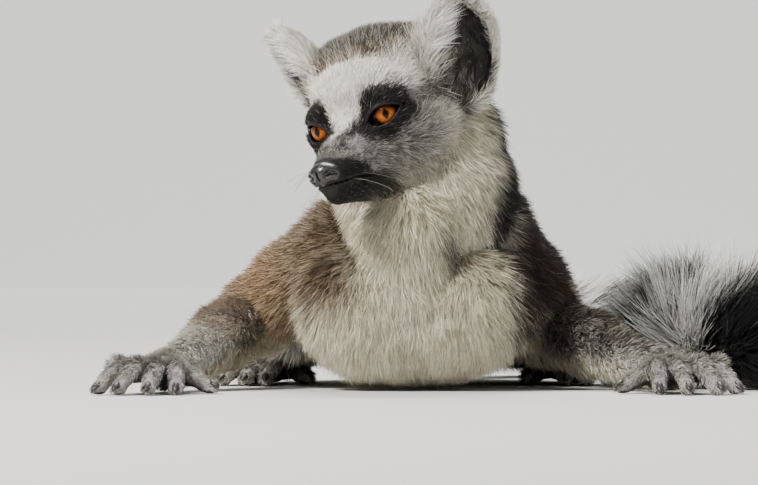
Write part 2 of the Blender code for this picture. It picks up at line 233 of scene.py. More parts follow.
EXTREMITIES = {}      # the rods of each hand and foot
DIGIT_TIPS = []       # where each nail goes: last joint, tip and their radii
for side, sign in SIDES.items():
    wrist = joint(ARM, side, "wrist")
    ahead = level(HAND_POINTING[side] * sign)
    across = np.array((-ahead[1], ahead[0], 0.0)) * -sign
    knuckles = wrist + ahead * PALM_LENGTH
    knuckles[2] = KNUCKLE_HEIGHT
    rods = [(wrist, blend(wrist, knuckles, 0.5), 7.2, 7.0)]
    for offset, length, splay in FINGERS:
        start = knuckles + across * offset
        rods.append((blend(wrist, knuckles, 0.25) + across * offset * 0.45, start, 5.2, 4.4))
        heading = level((HAND_POINTING[side] - splay) * sign)
        rods += digit(start, heading, length, DIGIT_RADIUS, FINGER_ARCH)
        DIGIT_TIPS.append(rods[-1])
    length, splay, radius = THUMB
    start = blend(wrist, knuckles, 0.45) + across * 6.0
    rods += digit(start, level((HAND_POINTING[side] - splay) * sign), length, radius, THUMB_ARCH)
    DIGIT_TIPS.append(rods[-1])
    EXTREMITIES["hand_" + side] = rods

    heel = joint(LEG, side, "ankle") + (0, 8, -5)
    sole = joint(LEG, side, "ball")
    ahead = (sole - heel) / np.linalg.norm(sole - heel)
    pointing = math.degrees(math.atan2(ahead[0], -ahead[1]))
    across = np.array((-ahead[1], ahead[0], 0.0)) * -sign
    rods = [(heel, blend(heel, sole, 0.5), 7.0, 6.8), (blend(heel, sole, 0.5), sole, 6.8, 6.8)]
    for offset, length, splay in TOES:
        start = sole + across * offset
        rods.append((blend(heel, sole, 0.6), start, 6.0, 4.4))
        rods += digit(start, level(pointing - splay * sign), length, DIGIT_RADIUS, TOE_ARCH)
        DIGIT_TIPS.append(rods[-1])
    length, splay, radius = BIG_TOE
    start = blend(heel, sole, 0.68) + across * 6.0
    rods += digit(start, level(pointing - splay * sign), length, radius, THUMB_ARCH)
    DIGIT_TIPS.append(rods[-1])
    EXTREMITIES["foot_" + side] = rods

EAR_ROOT = (32.5, -11, 4)
# Each ear: its lean outwards and forwards and its cup's heading outwards from straight ahead, in
# degrees, then how far its middle is outwards and up from its root.
EAR_POSE = {"left": (21.0, 6.0, 44.0, 5.0, 17.2), "right": (28.0, -10.0, 40.0, -8.0, 21.5)}
EAR_TURN, EAR_MIDDLE = {}, {}
for side, sign in SIDES.items():
    outwards, forwards, facing, beside, rise = EAR_POSE[side]
    EAR_TURN[side] = HEAD_TURN @ np.array(Euler((0, math.radians(outwards) * sign, 0)).to_matrix()
                                          @ Euler((math.radians(forwards), 0, 0)).to_matrix()
                                          @ Euler((0, 0, math.radians(facing) * sign)).to_matrix())
    EAR_MIDDLE[side] = (in_head(EAR_ROOT[0] * sign, EAR_ROOT[1], EAR_ROOT[2])
                        + EAR_TURN[side] @ (beside * sign, 0, rise))
EAR_SHELL = np.array((16.2, 8.8, 25.4))
EAR_THICKNESS = 1.7
EAR_EDGE = -1.0       # the open edge of the shell, forward of its middle

HEAD_EGGS = (         # across, forward, up, three radii, softness of the join
    (0, -9, 10.5, 26.0, 29, 27.3, 1),
    (0, 9, 12.0, 23.0, 17.5, 14.8, 6),
    (0, 15, -4, 19.5, 15, 14.0, 6),
    (17, 5, -8, 9.5, 17, 10.0, 6),
    (14.2, 19.0, 10.8, 8.0, 6.0, 4.2, 4),
    (14.5, -8.0, 20.5, 12.5, 17, 15.5, 4),
    (5.2, 46.5, -14.8, 5.4, 8.5, 5.2, 3),
    (0, 54.0, -17.2, 5.0, 5.2, 4.6, 2.5),
)
MUZZLE = (((0, 20, -7), 14.0), ((0, 39, -11), 10.2), ((0, 51.5, -14), 7.6))
JAW = (((0, 5, -18.5), 11.5), ((0, 28, -21.5), 8.2), ((0, 49.5, -22.2), 6.0))
CHEEKBONE = (((17, 18, -4.5), 5.0), ((25, -4, -6), 5.0))
GAZE = {"left": (0.54, 0.84, 0.05), "right": (-0.12, 0.98, 0.06)}  # across, forward, up in the head
SOCKET_TURN = math.radians(20)  # each socket's axis, outwards from straight ahead
SOCKET_GAP = 0.15     # between the eyeball and the lids round it
LID_THICKNESS = 1.5
LID_WIDTH = 8.6       # half the opening, corner to corner
LID_RISE = 4.0        # from the line between the corners up to the upper lid
LID_DROP = 3.7        # and down to the lower lid
LID_TILT = math.radians(14)
MOUTH_LINE = ((26, -21.4), (36, -19.6), (46, -18.7), (60, -18.4))  # forward, up
MOUTH_CORNER = 25.0   # how far forward the mouth's corners are
LIP_GAP = 0.35        # half the height of the slit between the lips
SLIT_DEPTH = 1.5


def head_coords(p):
    """Points of the animal's frame as across, forward and up in the head."""
    q = (p - HEAD_CENTRE) @ HEAD_TURN
    return np.column_stack((q[:, 0], -q[:, 1], q[:, 2]))


def on_left(q):
    """The head's points, with those of its right half mirrored onto its left half."""
    return np.column_stack((np.abs(q[:, 0]), q[:, 1], q[:, 2]))


def read_off(table, value):
    """Values between the (place, value) pairs of a table, joined by straight lines."""
    return np.interp(value, *np.array(table).T)


def ear_coords(p, side):
    return (p - EAR_MIDDLE[side]) @ EAR_TURN[side]


def eye_coords(q, sign):
    """Across, forward and up from an eye's middle, square to the socket's own axis."""
    v = q - np.array((EYE_PLACE[0] * sign, EYE_PLACE[1], EYE_PLACE[2]))
    c, s = math.cos(SOCKET_TURN), math.sin(SOCKET_TURN)
    x = (v[:, 0] * c * sign - v[:, 1] * s)          # outwards
    y = (v[:, 0] * s * sign + v[:, 1] * c)          # out of the socket
    c, s = math.cos(LID_TILT), math.sin(LID_TILT)
    return np.column_stack((x * c + v[:, 2] * s, y, v[:, 2] * c - x * s))


def lid_line(e):
    """How far the edge of the upper or lower lid is from the line between the corners."""
    return np.where(e[:, 2] > 0, LID_RISE, LID_DROP) * (1 - (e[:, 0] / LID_WIDTH) ** 2)


def head_field(p):
    q = head_coords(p)
    mirrored = on_left(q)
    d = None
    for *centre_radii, softness in HEAD_EGGS:
        form = egg(mirrored, centre_radii[:3], centre_radii[3:])
        d = form if d is None else union(d, form, softness)
    for form in rods_along(q, MUZZLE) + rods_along(mirrored, CHEEKBONE):
        d = union(d, form, 5.0)
    d = union(d, np.minimum(*rods_along(q, JAW)), 3.0)
    off_line = np.abs(q[:, 2] - read_off(MOUTH_LINE, q[:, 1])) - LIP_GAP
    d = hollow(d, np.maximum(off_line, np.maximum(MOUTH_CORNER - q[:, 1], -d - SLIT_DEPTH)), 0.5)
    for sign in SIDES.values():
        e = eye_coords(q, sign)
        ball = length_of(e)
        d = union(d, ball - (EYE_RADIUS + LID_THICKNESS), 3.5)
        opening = np.maximum(np.abs(e[:, 2]) - lid_line(e), 2.0 - e[:, 1]) * 0.75
        d = hollow(d, np.maximum(opening, ball - 14), 0.7)
        d = hollow(d, ball - (EYE_RADIUS + SOCKET_GAP), 0.25)
    return d


def ear_field(p, side):
    e = ear_coords(p, side)
    shell = np.maximum(egg(e, (0, 0, 0), EAR_SHELL), EAR_EDGE - e[:, 1])
    bowl = egg(e, (0, -0.6, 0), EAR_SHELL - EAR_THICKNESS)
    return hollow(shell, bowl, 0.5)


def bare_rod(p, s):
    """Distance to the skin of a stretch, under its coat."""
    return rod(p, s["start"], s["end"], *(r - depth for r, depth in zip(s["radii"], s["depths"])))


JOINS = {"stretch": 6.0, "tail": 5.0, "ear": 2.2, "head": 8.0, "digits": 4.0}  # how softly each joins on


def body_field(p):
    """Distance to the skin of neck, trunk, limbs and tail."""
    d = np.full(len(p), FAR)
    for s in STRETCHES:
        d = union(d, bare_rod(p, s), JOINS["stretch"])
    near_tail = (p[:, 1] > 190) | (p[:, 0] > 100)  # it keeps to the rump and the left side
    if near_tail.any():
        q = p[near_tail]
        t = np.full(len(q), FAR)
        for i in range(0, TAIL_STEPS - 2, 2):
            t = np.minimum(t, rod(q, tail_line[i], tail_line[i + 2], tail_core[i], tail_core[i + 2]))
        d[near_tail] = union(d[near_tail], t, JOINS["tail"])
    return d


def digits_field(p, name):
    d = None
    for start, end, start_radius, end_radius in EXTREMITIES[name]:
        form = rod(p, start, end, start_radius, end_radius)
        d = form if d is None else union(d, form, 1.6)
    return d


HEAD_REACH = 78.0     # nothing of the head or ears is farther from the head's middle
LIMB_REACH = 62.0     # and nothing of a hand or foot from its own middle
FLOOR_GAP = 0.35      # the skin's least height above the floor
EXTREMITY_MIDDLE = {name: np.mean([r[1] for r in rods], axis=0) for name, rods in EXTREMITIES.items()}


def skin_field(p):
    """Distance to the whole skin, negative inside."""
    d = body_field(p)
    near = length_of(p - in_head(0, 6, 4)) < HEAD_REACH
    if near.any():
        head = head_field(p[near])
        for side in SIDES:
            head = union(head, ear_field(p[near], side), JOINS["ear"])
        d[near] = union(d[near], head, JOINS["head"])
    for name, middle in EXTREMITY_MIDDLE.items():
        near = length_of(p - middle) < LIMB_REACH
        if near.any():
            d[near] = union(d[near], digits_field(p[near], name), JOINS["digits"])
    return np.maximum(d, FLOOR_GAP - p[:, 2])


BLOCK = 8             # a block's side, in steps of the grid
BATCH = 400000        # points worked out at a time, which keeps memory low


def sampled(field, low, step, shape):
    """The field on a grid, worked out only in the blocks that the surface passes through."""
    blocks = tuple(-(-n // BLOCK) for n in shape)
    size = BLOCK * step
    corner = np.stack(np.meshgrid(*(np.arange(n) for n in blocks), indexing="ij"), -1).reshape(-1, 3)
    middle = low + (corner + 0.5) * size
    rough = np.concatenate([field(part) for part in np.array_split(middle, max(1, len(middle) // BATCH))])
    grid = np.sign(rough).reshape(blocks) * FAR
    for axis in range(3):
        grid = np.repeat(grid, BLOCK, axis)
    active = corner[np.abs(rough) < size * 1.25]
    inner = np.stack(np.meshgrid(*(np.arange(BLOCK),) * 3, indexing="ij"), -1).reshape(-1, 3)
    for part in np.array_split(active, max(1, len(active) * BLOCK ** 3 // BATCH)):
        index = (part[:, None, :] * BLOCK + inner).reshape(-1, 3)
        grid[tuple(index.T)] = field(low + index * step)
    return grid


def surface(field, low, high, step):
    """Points and four-sided faces of the field's zero surface (surface nets)."""
    low = np.asarray(low, dtype=float)
    shape = tuple(math.ceil((end - start) / step) + 2 for start, end in zip(low, high))
    grid = sampled(field, low, step, shape)
    inside = grid < 0
    mixed = np.zeros(tuple(n - 1 for n in grid.shape), dtype=bool)
    first = inside[:-1, :-1, :-1]
    for dx, dy, dz in np.ndindex(2, 2, 2):
        mixed |= inside[dx:dx + mixed.shape[0], dy:dy + mixed.shape[1], dz:dz + mixed.shape[2]] != first
    cells = np.argwhere(mixed)
    number = np.full(mixed.shape, -1)
    number[mixed] = np.arange(len(cells))
    total, count = np.zeros((len(cells), 3)), np.zeros(len(cells))
    for axis in range(3):
        for offset in np.ndindex(2, 2):
            start = np.insert(np.array(offset), axis, 0)
            end = start.copy()
            end[axis] = 1
            a, b = grid[tuple((cells + start).T)], grid[tuple((cells + end).T)]
            crossed = (a < 0) != (b < 0)
            t = np.where(crossed, a / np.where(crossed, a - b, 1.0), 0.0)
            place = (cells + start).astype(float)
            place[:, axis] += t
            total += place * crossed[:, None]
            count += crossed
    points = low + total / count[:, None] * step
    faces = []
    for axis in range(3):
        b, c = (axis + 1) % 3, (axis + 2) % 3
        ahead = np.roll(inside, -1, axis)
        crossing = inside != ahead
        edge = [slice(1, -1)] * 3
        edge[axis] = slice(0, -1)
        places = np.argwhere(crossing[tuple(edge)]) + [0 if k == axis else 1 for k in range(3)]
        around = []
        for db, dc in ((-1, -1), (0, -1), (0, 0), (-1, 0)):
            cell = places.copy()
            cell[:, b] += db
            cell[:, c] += dc
            around.append(number[tuple(cell.T)])
        quads = np.stack(around, 1)
        outward = inside[tuple(places.T)]
        quads[~outward] = quads[~outward][:, ::-1]
        faces.append(quads)
    faces = np.concatenate(faces)
    faces = faces[(faces >= 0).all(1)]
    return points, faces


def slope_of(field, p, reach=0.35):
    """Outward direction of a field at points, from four samples round each."""
    corners = np.array(((1, 1, 1), (1, -1, -1), (-1, 1, -1), (-1, -1, 1)), dtype=float)
    return unit(sum(c * field(p + c * reach)[:, None] for c in corners))


def settled(field, points, rounds=2):
    """Points drawn onto the zero surface, and the direction out of it."""
    for _ in range(rounds):
        normal = slope_of(field, points)
        points = points - normal * np.clip(field(points), -1.0, 1.0)[:, None]
    return points, slope_of(field, points)


def kept(points, faces, wanted):
    """The wanted faces of a mesh, with only the points that they use."""
    used, renumbered = np.unique(faces[wanted], return_inverse=True)
    faces = faces[wanted]
    return points[used], renumbered.reshape(faces.shape)


# How fine the skin's mesh is on the face, the rest of the head, the hands and feet, and the body.
FACE_STEP, HEAD_STEP, LIMB_STEP, BODY_STEP = ((0.7, 1.04, 1.42, 3.3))
fine_zones = [(in_head(0, 32, -5), 35.0, FACE_STEP), (in_head(0, 6, 4), 72.0, HEAD_STEP)]
fine_zones += [(middle, 50.0, LIMB_STEP) for middle in EXTREMITY_MIDDLE.values()]
SKIN_LOW, SKIN_HIGH = (-150, -95, -4), (262, 322, 190)  # corners of a box round the whole skin
ZONE_OVERLAP = 0.7    # how far a zone runs past its edge, as a share of its step

# Number -1 is the body, which leaves out every zone, and each zone leaves out those before it.
skin_points, skin_faces, skin_count = [], [], 0
for number in range(-1, len(fine_zones)):
    if number < 0:
        step, low, high, finer = BODY_STEP, np.array(SKIN_LOW), np.array(SKIN_HIGH), fine_zones
    else:
        middle, reach, step = fine_zones[number]
        low, high, finer = middle - reach - 2 * step, middle + reach + 2 * step, fine_zones[:number]
        low[2], high[2] = max(low[2], SKIN_LOW[2]), min(high[2], SKIN_HIGH[2])
    points, faces = surface(skin_field, low, high, step)
    faces_middle = points[faces].mean(1)
    wanted = np.ones(len(faces), dtype=bool)
    if number >= 0:
        wanted = length_of(faces_middle - middle) < reach + ZONE_OVERLAP * step
    for other_middle, other_reach, _ in finer:
        wanted &= length_of(faces_middle - other_middle) > other_reach - ZONE_OVERLAP * step
    points, faces = kept(points, faces, wanted)
    skin_points.append(points)
    skin_faces.append(faces + skin_count)
    skin_count += len(points)
skin_points, skin_faces = np.concatenate(skin_points), np.concatenate(skin_faces)
skin_points, skin_normals = settled(skin_field, skin_points)


def placed(points):
    """Points of the animal's frame in metres, over the solids."""
    return ORIGIN + np.asarray(points) * MM


def mesh_of(name, points, faces):
    """A smooth mesh of points in metres and faces that all have the same number of corners."""
    sides = faces.shape[1]
    mesh = bpy.data.meshes.new(name)
    mesh.vertices.add(len(points))
    mesh.vertices.foreach_set("co", np.asarray(points, dtype=np.float32).ravel())
    mesh.loops.add(faces.size)
    mesh.loops.foreach_set("vertex_index", faces.astype(np.int32).ravel())
    mesh.polygons.add(len(faces))
    mesh.polygons.foreach_set("loop_start", np.arange(0, faces.size, sides, dtype=np.int32))
    mesh.polygons.foreach_set("use_smooth", np.ones(len(faces), dtype=bool))
    mesh.update(calc_edges=True)
    return mesh


def piece_of(mesh, material):
    piece = bpy.data.objects.new(mesh.name, mesh)
    bpy.context.scene.collection.objects.link(piece)
    mesh.materials.append(material)
    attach(piece, "root")
    return piece


def colour_points(mesh, name, colours):
    layer = mesh.color_attributes.new(name, "FLOAT_COLOR", "POINT")
    rgba = np.ones((len(colours), 4), dtype=np.float32)
    rgba[:, :3] = colours
    layer.data.foreach_set("color", rgba.ravel())


def linear(red, green, blue):
    """A screen colour, 0 to 1, as the light that it stands for."""
    c = np.array((red, green, blue))
    return np.where(c > 0.04045, ((c + 0.055) / 1.055) ** 2.4, c / 12.92)


# The markings' colours. markings() further on lays them out, for the skin and the coat over it.
WHITE = linear(0.93, 0.915, 0.87)
CREAM = linear(0.86, 0.83, 0.74)
CHEEK = linear(0.42, 0.41, 0.39)
CROWN = linear(0.285, 0.27, 0.245)
RUST = linear(0.48, 0.38, 0.25)
BLACK = linear(0.075, 0.07, 0.07)
SOOT = linear(0.17, 0.16, 0.155)
MUZZLE_GREY = linear(0.33, 0.31, 0.29)
TAWNY = linear(0.56, 0.43, 0.29)
DUN = linear(0.40, 0.34, 0.27)
# Painted shade: a dark brown for the animal's left side, away from the key light, where its right is tawny.
SHADED_SIDE_BROWN = linear(0.22, 0.175, 0.145)
SLATE = linear(0.13, 0.12, 0.115)
BACK_GREY = linear(0.47, 0.42, 0.37)
PALE_GREY = linear(0.78, 0.77, 0.73)
PALE_FUR = linear(0.88, 0.87, 0.83)
WARM_PALE = linear(0.80, 0.75, 0.65)
DIGIT_GREY = linear(0.70, 0.69, 0.66)
RING_BLACK = linear(0.10, 0.10, 0.11)
RING_WHITE = linear(0.93, 0.93, 0.90)
# Painted shade: a dark grey blended into the roots of the tail's hair, deep in its coat.
TAIL_ROOT = linear(0.25, 0.23, 0.21)
RING_LENGTH = 47.0     # one white ring and one black
WHITE_SHARE = 0.46
RING_FRONT = 8.0       # the point of the tail's route that a white ring has its middle at
BLACK_TIP = 45.0

# How high the muzzle's black reaches, and half the width of the white blaze, by how far forward.
MUZZLE_BLACK = ((10, -28.0), (16, -24.6), (22, -22.0), (28, -19.6),
                (36, -16.4), (44, -12.4), (50, -9.0), (57, -6.4))
BLAZE_WIDTH = ((24, 10.0), (27, 7.0), (30, 4.8), (36, 3.2), (42, 1.8), (46, 0.0))
EAR_BASE = (30.0, -7.0, 20.5)  # the middle of the long white hair at an ear's root


def evenly(colour, p):
    """One colour at every point."""
    return np.tile(colour, (len(p), 1))


def painted(colours, colour, amount):
    """Colours with another laid over them, where amount is above 0."""
    return colours + (colour - colours) * np.clip(amount, 0, 1)[:, None]


def crown_border(across):
    """How far forward the dark crown reaches, which is less at the sides."""
    return 14.0 - 17.0 * (np.abs(across) / 27.0) ** 2.2


def ear_base(q):
    """How far the long white hair at an ear's root holds."""
    away = length_of((on_left(q) - EAR_BASE) * (1, 0.8, 0.8))
    return step_between(9.8, 6.0, away)


def head_markings(q):
    """Colours on the head, and how bare its skin is, from across, forward and up."""
    mirrored = on_left(q)
    m, f, u = mirrored.T
    e = np.where((q[:, 0] > 0)[:, None], eye_coords(q, 1.0), eye_coords(q, -1.0))
    c = evenly(CHEEK, q)
    c = painted(c, PALE_GREY, step_between(14, -4, f) * step_between(12, 2, u) * 0.85)
    c = painted(c, CREAM, step_between(-17, -27, u) * step_between(30, 16, f))
    c = painted(c, CREAM * 0.85, step_between(8, -10, f) * step_between(-2, -16, u))
    border = crown_border(q[:, 0])
    brow = step_between(7.0, 12.0, u + 0.25 * np.minimum(f - 12, 0))
    c = painted(c, WHITE, step_between(-1.5, 1.5, f - border) * brow)
    above_ear = step_between(3, 9, u)
    c = painted(c, CROWN, step_between(1.5, -1.5, f - border) * above_ear)
    c = painted(c, RUST, np.exp(-((f - border + 0.2) / 1.3) ** 2) * above_ear * 0.7)
    c = painted(c, SLATE, step_between(2, -3, f + 36 + 0.3 * u) * step_between(26, 16, u))
    rise = np.where(e[:, 2] > 0, 12.0, 9.5)
    patch = np.sqrt(((e[:, 0] + 0.5) / 12.5) ** 2 + (e[:, 2] / rise) ** 2) + np.where(e[:, 1] < -4, 1.0, 0.0)
    c = painted(c, SOOT, step_between(1.22, 0.98, patch))
    c = painted(c, BLACK, step_between(1.0, 0.80, patch))
    streak = rod(mirrored, (5.5, 30.0, 3.0), (6.0, 48.0, -4.5), 2.6, 1.4)
    c = painted(c, SOOT, step_between(1.4, -0.4, streak))
    light = length_of(np.column_stack((m - 9.0, (f - 40.5) * 0.8, u + 5.5)))
    c = painted(c, PALE_GREY * 0.55, step_between(5.5, 2.0, light))
    top = step_between(6.5, 3.5, m) * step_between(38, 43, f) * step_between(-13, -9, u)
    c = painted(c, MUZZLE_GREY, top * 0.9)
    blaze = step_between(1.0, -1.0, m - read_off(BLAZE_WIDTH, f))
    c = painted(c, WHITE, blaze * step_between(22, 25, f) * step_between(-4, 0, u))
    dark = step_between(1.4, -1.4, u - read_off(MUZZLE_BLACK, f))
    c = painted(c, BLACK, dark * step_between(12, 16, f + 0.5 * (u + 25)))
    c = painted(c, BLACK, step_between(53, 56, f))
    c = painted(c, WHITE, ear_base(q))
    c = painted(c, SOOT, np.exp(-(((f + 1) / 8) ** 2 + ((u - 5) / 7) ** 2)) * step_between(18, 23, m) * 0.9)
    lid = step_between(1.9, 0.9, np.abs(e[:, 2]) - lid_line(e)) * (np.abs(e[:, 0]) < LID_WIDTH + 1)
    bare = lid * (e[:, 1] > 0) * (length_of(e) < EYE_RADIUS + 3)
    lips = step_between(1.8, 1.0, np.abs(u - read_off(MOUTH_LINE, f))) * (f > MOUTH_CORNER)
    bare = np.maximum(bare, lips)
    bare = np.maximum(bare, step_between(54.5, 56.5, f))
    return painted(c, BLACK * 0.8, bare), bare


def ear_markings(e, n, sign):
    """Colours on one ear, and how bare it is, in the ear's own frame."""
    inside = step_between(0.3, -0.2, n[:, 1])
    medial = -e[:, 0] * sign / EAR_SHELL[0]
    rim = (e[:, 0] / EAR_SHELL[0]) ** 2 + (e[:, 2] / EAR_SHELL[2]) ** 2
    low = step_between(2, -9, e[:, 2])
    rear = 0.12 * step_between(0.0, -0.4, medial)
    lining = inside * step_between(0.98 + 0.1 * low - rear, 0.88 + 0.1 * low - rear, rim)
    lining = lining * step_between(0.72 + 0.3 * low, 0.42 + 0.3 * low, medial)
    c = painted(evenly(WHITE, e), BLACK * 0.7, lining)
    return c, lining * (0.93 + 0.07 * step_between(0.5, 0.6, rim))


def tail_position(p):
    """How far along the tail each point is, and how far it is from the tail's line."""
    run, away = np.zeros(len(p)), np.full(len(p), FAR)
    for i in range(TAIL_STEPS - 1):
        along = tail_line[i + 1] - tail_line[i]
        t = np.clip((p - tail_line[i]) @ along / (along @ along), 0, 1)
        d = length_of(p - tail_line[i] - t[:, None] * along)
        nearer = d < away
        away[nearer] = d[nearer]
        run[nearer] = (tail_run[i] + t * (tail_run[i + 1] - tail_run[i]))[nearer]
    return run, away


ring_start = (np.interp(RING_FRONT, tail_places, tail_run) - WHITE_SHARE * RING_LENGTH / 2) % RING_LENGTH


def ring_colours(run):
    """The tail's rings: white first after a grey base, and a black tip."""
    turn = (run - ring_start) / RING_LENGTH
    part = turn - np.floor(turn)
    white = step_between(-0.02, 0.02, part) * step_between(WHITE_SHARE + 0.02, WHITE_SHARE - 0.02, part)
    c = painted(evenly(RING_BLACK, run), RING_WHITE, white)
    c = painted(c, BACK_GREY, step_between(ring_start + 2, ring_start - 6, run))
    return painted(c, RING_BLACK, step_between(tail_run[-1] - BLACK_TIP - 4, tail_run[-1] - BLACK_TIP, run))


KINDS = ("trunk", "neck", "breast", "upper_arm", "forearm", "thigh", "shin")


def body_markings(p, n, share):
    """Colours on neck, trunk and limbs. share is how far each kind of stretch holds at a point."""
    facing = np.degrees(np.arctan2(n[:, 0], -n[:, 1]))       # 0 in front, positive to the left side
    under = step_between(0.0, -0.6, n[:, 2])
    # Left border of the cream front; its dip near 88 mm up is painted shade of a crease down the throat.
    left_edge = 54 - 8 * np.exp(-((p[:, 2] - 88) / 9) ** 2) + 12 * step_between(98, 112, p[:, 2])
    front = step_between(12, -12, facing - left_edge) * step_between(-104, -80, facing)
    to_right = step_between(8, -8, p[:, 0])[:, None]
    dull = np.maximum(step_between(52, 76, p[:, 2]) * 0.9, step_between(-64, -44, p[:, 0]) * 0.75)
    tawny = painted(evenly(TAWNY, p), DUN, dull)
    # The flank is the painted-shade brown on the left side and tawny on the right.
    flank = blend(evenly(SHADED_SIDE_BROWN, p), tawny, to_right)
    sleeve = painted(flank, PALE_GREY, step_between(44, 16, p[:, 2]) * 0.3)
    inner_side = step_between(0.0, 0.5, n[:, 0] * -np.sign(p[:, 0])) * step_between(0.4, -0.2, n[:, 2])
    forearm = painted(evenly(blend(TAWNY, PALE_FUR, 0.45), p), PALE_FUR, step_between(44, 18, p[:, 1]))
    # Painted shade: the top of the left forearm dark brown.
    forearm = painted(forearm, SHADED_SIDE_BROWN, step_between(11, 22, p[:, 2]) * step_between(-8, 8, p[:, 0]) * 0.92)
    from_elbow = length_of(p - joint(ARM, "right", "elbow"))
    at_elbow = step_between(12, -12, from_elbow - 27 - 0.9 * p[:, 2])
    forearm = painted(forearm, blend(TAWNY, PALE_FUR, 0.3), at_elbow * 0.75)
    colours = {
        "trunk": painted(evenly(BACK_GREY, p), CREAM, under),
        # The neck's left side is slate, partly its dark nape and partly painted shade; its right side is
        # dun.
        "neck": painted(blend(evenly(SLATE, p), DUN, to_right), CREAM, front),
        "breast": painted(painted(flank, CREAM, front), CREAM, under),
        "upper_arm": painted(sleeve, CREAM, inner_side),
        "forearm": painted(forearm, CREAM, under * 0.7),
        "thigh": painted(evenly(blend(TAWNY, BACK_GREY, 0.5), p), PALE_GREY, under),
        "shin": painted(evenly(blend(BACK_GREY, PALE_GREY, 0.5), p), WHITE, under),
    }
    c = sum(colours[kind] * share[:, i, None] for i, kind in enumerate(KINDS))
    shoulder = step_between(-20, -30, p[:, 0]) + step_between(37, 44, p[:, 0])
    c = painted(c, flank, shoulder * step_between(38, 52, p[:, 2]) * step_between(90, 80, p[:, 2]))
    return painted(c, SLATE, step_between(20, 60, p[:, 1]) * step_between(85, 100, p[:, 2]) * 0.8)


def shares_of(p):
    """How far each stretch of the body holds at each point, summing to 1."""
    d = np.stack([rod(p, s["start"], s["end"], *s["radii"]) + s["depths"][0] for s in STRETCHES], 1)
    weight = np.exp(-(d - d.min(1)[:, None]) / 4.0)
    return weight / weight.sum(1)[:, None]


PARTS = ["body", "tail", "head", "ear_left", "ear_right", *EXTREMITIES]
PART_BORDERS = np.array((6.0, 3.0, 5.0, 0.8, 0.8, 3.0, 3.0, 3.0, 3.0))  # how far each runs into the next


def part_distances(p):
    """The distance to the skin of each of PARTS by itself."""
    body = np.full(len(p), FAR)
    for s in STRETCHES:
        body = np.minimum(body, bare_rod(p, s))
    run, away = tail_position(p)
    fields = [body, away - np.interp(run, tail_run, tail_core), head_field(p)]
    fields += [ear_field(p, side) - 0.4 for side in SIDES]
    fields += [digits_field(p, name) for name in EXTREMITIES]
    return np.stack(fields, 1)


def markings(p, n):
    """At points of the skin: the coat's colour, how bare they are, the share of each part and of each
    stretch, and how far along the tail they are."""
    table = part_distances(p)
    weight = np.exp(-(table - table.min(1)[:, None]) / PART_BORDERS)
    weight /= weight.sum(1)[:, None]
    stretch_share = shares_of(p)
    of_kind = [[s["kind"] == kind for s in STRETCHES] for kind in KINDS]
    kinds = np.stack([stretch_share[:, chosen].sum(1) for chosen in of_kind], 1)
    head_colour, head_bare = head_markings(head_coords(p))
    run, _ = tail_position(p)
    colours = [body_markings(p, n, kinds), ring_colours(run), head_colour]
    bare = [np.zeros(len(p)), np.zeros(len(p)), head_bare]
    for side, sign in SIDES.items():
        ear_colour, ear_bare = ear_markings(ear_coords(p, side), n @ EAR_TURN[side], sign)
        colours.append(ear_colour)
        bare.append(ear_bare)
    palm = step_between(-0.25, -0.55, n[:, 2])
    for _ in EXTREMITIES:
        colours.append(painted(evenly(DIGIT_GREY, p), SOOT, step_between(-0.2, -0.5, n[:, 2])))
        bare.append(palm)
    colour = sum(c * weight[:, i, None] for i, c in enumerate(colours))
    return colour, sum(b * weight[:, i] for i, b in enumerate(bare)), weight, stretch_share, run


skin_colour, skin_bare, skin_weight, skin_share, skin_run = markings(skin_points, skin_normals)
skin_mesh = mesh_of("skin", placed(skin_points), skin_faces)
colour_points(skin_mesh, "Marking", skin_colour)
colour_points(skin_mesh, "Bare", np.repeat(skin_bare[:, None], 3, 1))


MIX_FACTOR, MIX_FIRST, MIX_SECOND, MIX_RESULT = 0, 6, 7, 2  # a Mix node's sockets for colours


class Nodes:
    """A material's nodes, added and joined by name."""

    def __init__(self, name):
        self.material = bpy.data.materials.new(name)
        self.material.use_nodes = True
        self.tree = self.material.node_tree
        self.shader = self.tree.nodes["Principled BSDF"]

    def add(self, kind, **settings):
        node = self.tree.nodes.new("ShaderNode" + kind)
        for name, value in settings.items():
            if hasattr(node, name):
                setattr(node, name, value)
            else:
                node.inputs[name.replace("_", " ")].default_value = value
        return node

    def join(self, source, output, target, socket):
        self.tree.links.new(source.outputs[output], target.inputs[socket])

    def mixed(self, kind, factor, first, second):
        """A colour mix. factor, first and second are (node, output) pairs or plain values."""
        node = self.add("Mix", data_type="RGBA", blend_type=kind)
        for index, value in ((MIX_FACTOR, factor), (MIX_FIRST, first), (MIX_SECOND, second)):
            if isinstance(value, tuple) and hasattr(value[0], "outputs"):
                self.join(*value, node, index)
            else:
                node.inputs[index].default_value = value
        return node

    def texture(self, kind, **settings):
        """A texture that is fixed to the piece."""
        texture = self.add("Tex" + kind, **settings)
        self.join(self.add("TexCoord"), "Object", texture, "Vector")
        return texture

    def ranged(self, source, output, **limits):
        """A value of another node, brought between To_Min and To_Max."""
        change = self.add("MapRange", **limits)
        self.join(source, output, change, "Value")
        return change

    def coloured(self, mix):
        self.join(mix, MIX_RESULT, self.shader, "Base Color")

    def roughened(self, source, output, **limits):
        self.join(self.ranged(source, output, **limits), "Result", self.shader, "Roughness")

    def bumped(self, source, output, strength, distance):
        """Relief over the whole piece. distance is its height in metres."""
        bump = self.add("Bump", Strength=strength, Distance=distance)
        self.join(source, output, bump, "Height")
        self.join(bump, "Normal", self.shader, "Normal")

    def finished(self, **sockets):
        """The material, with sockets of its shader set to plain values."""
        for name, value in sockets.items():
            self.shader.inputs[name.replace("_", " ")].default_value = value
        return self.material


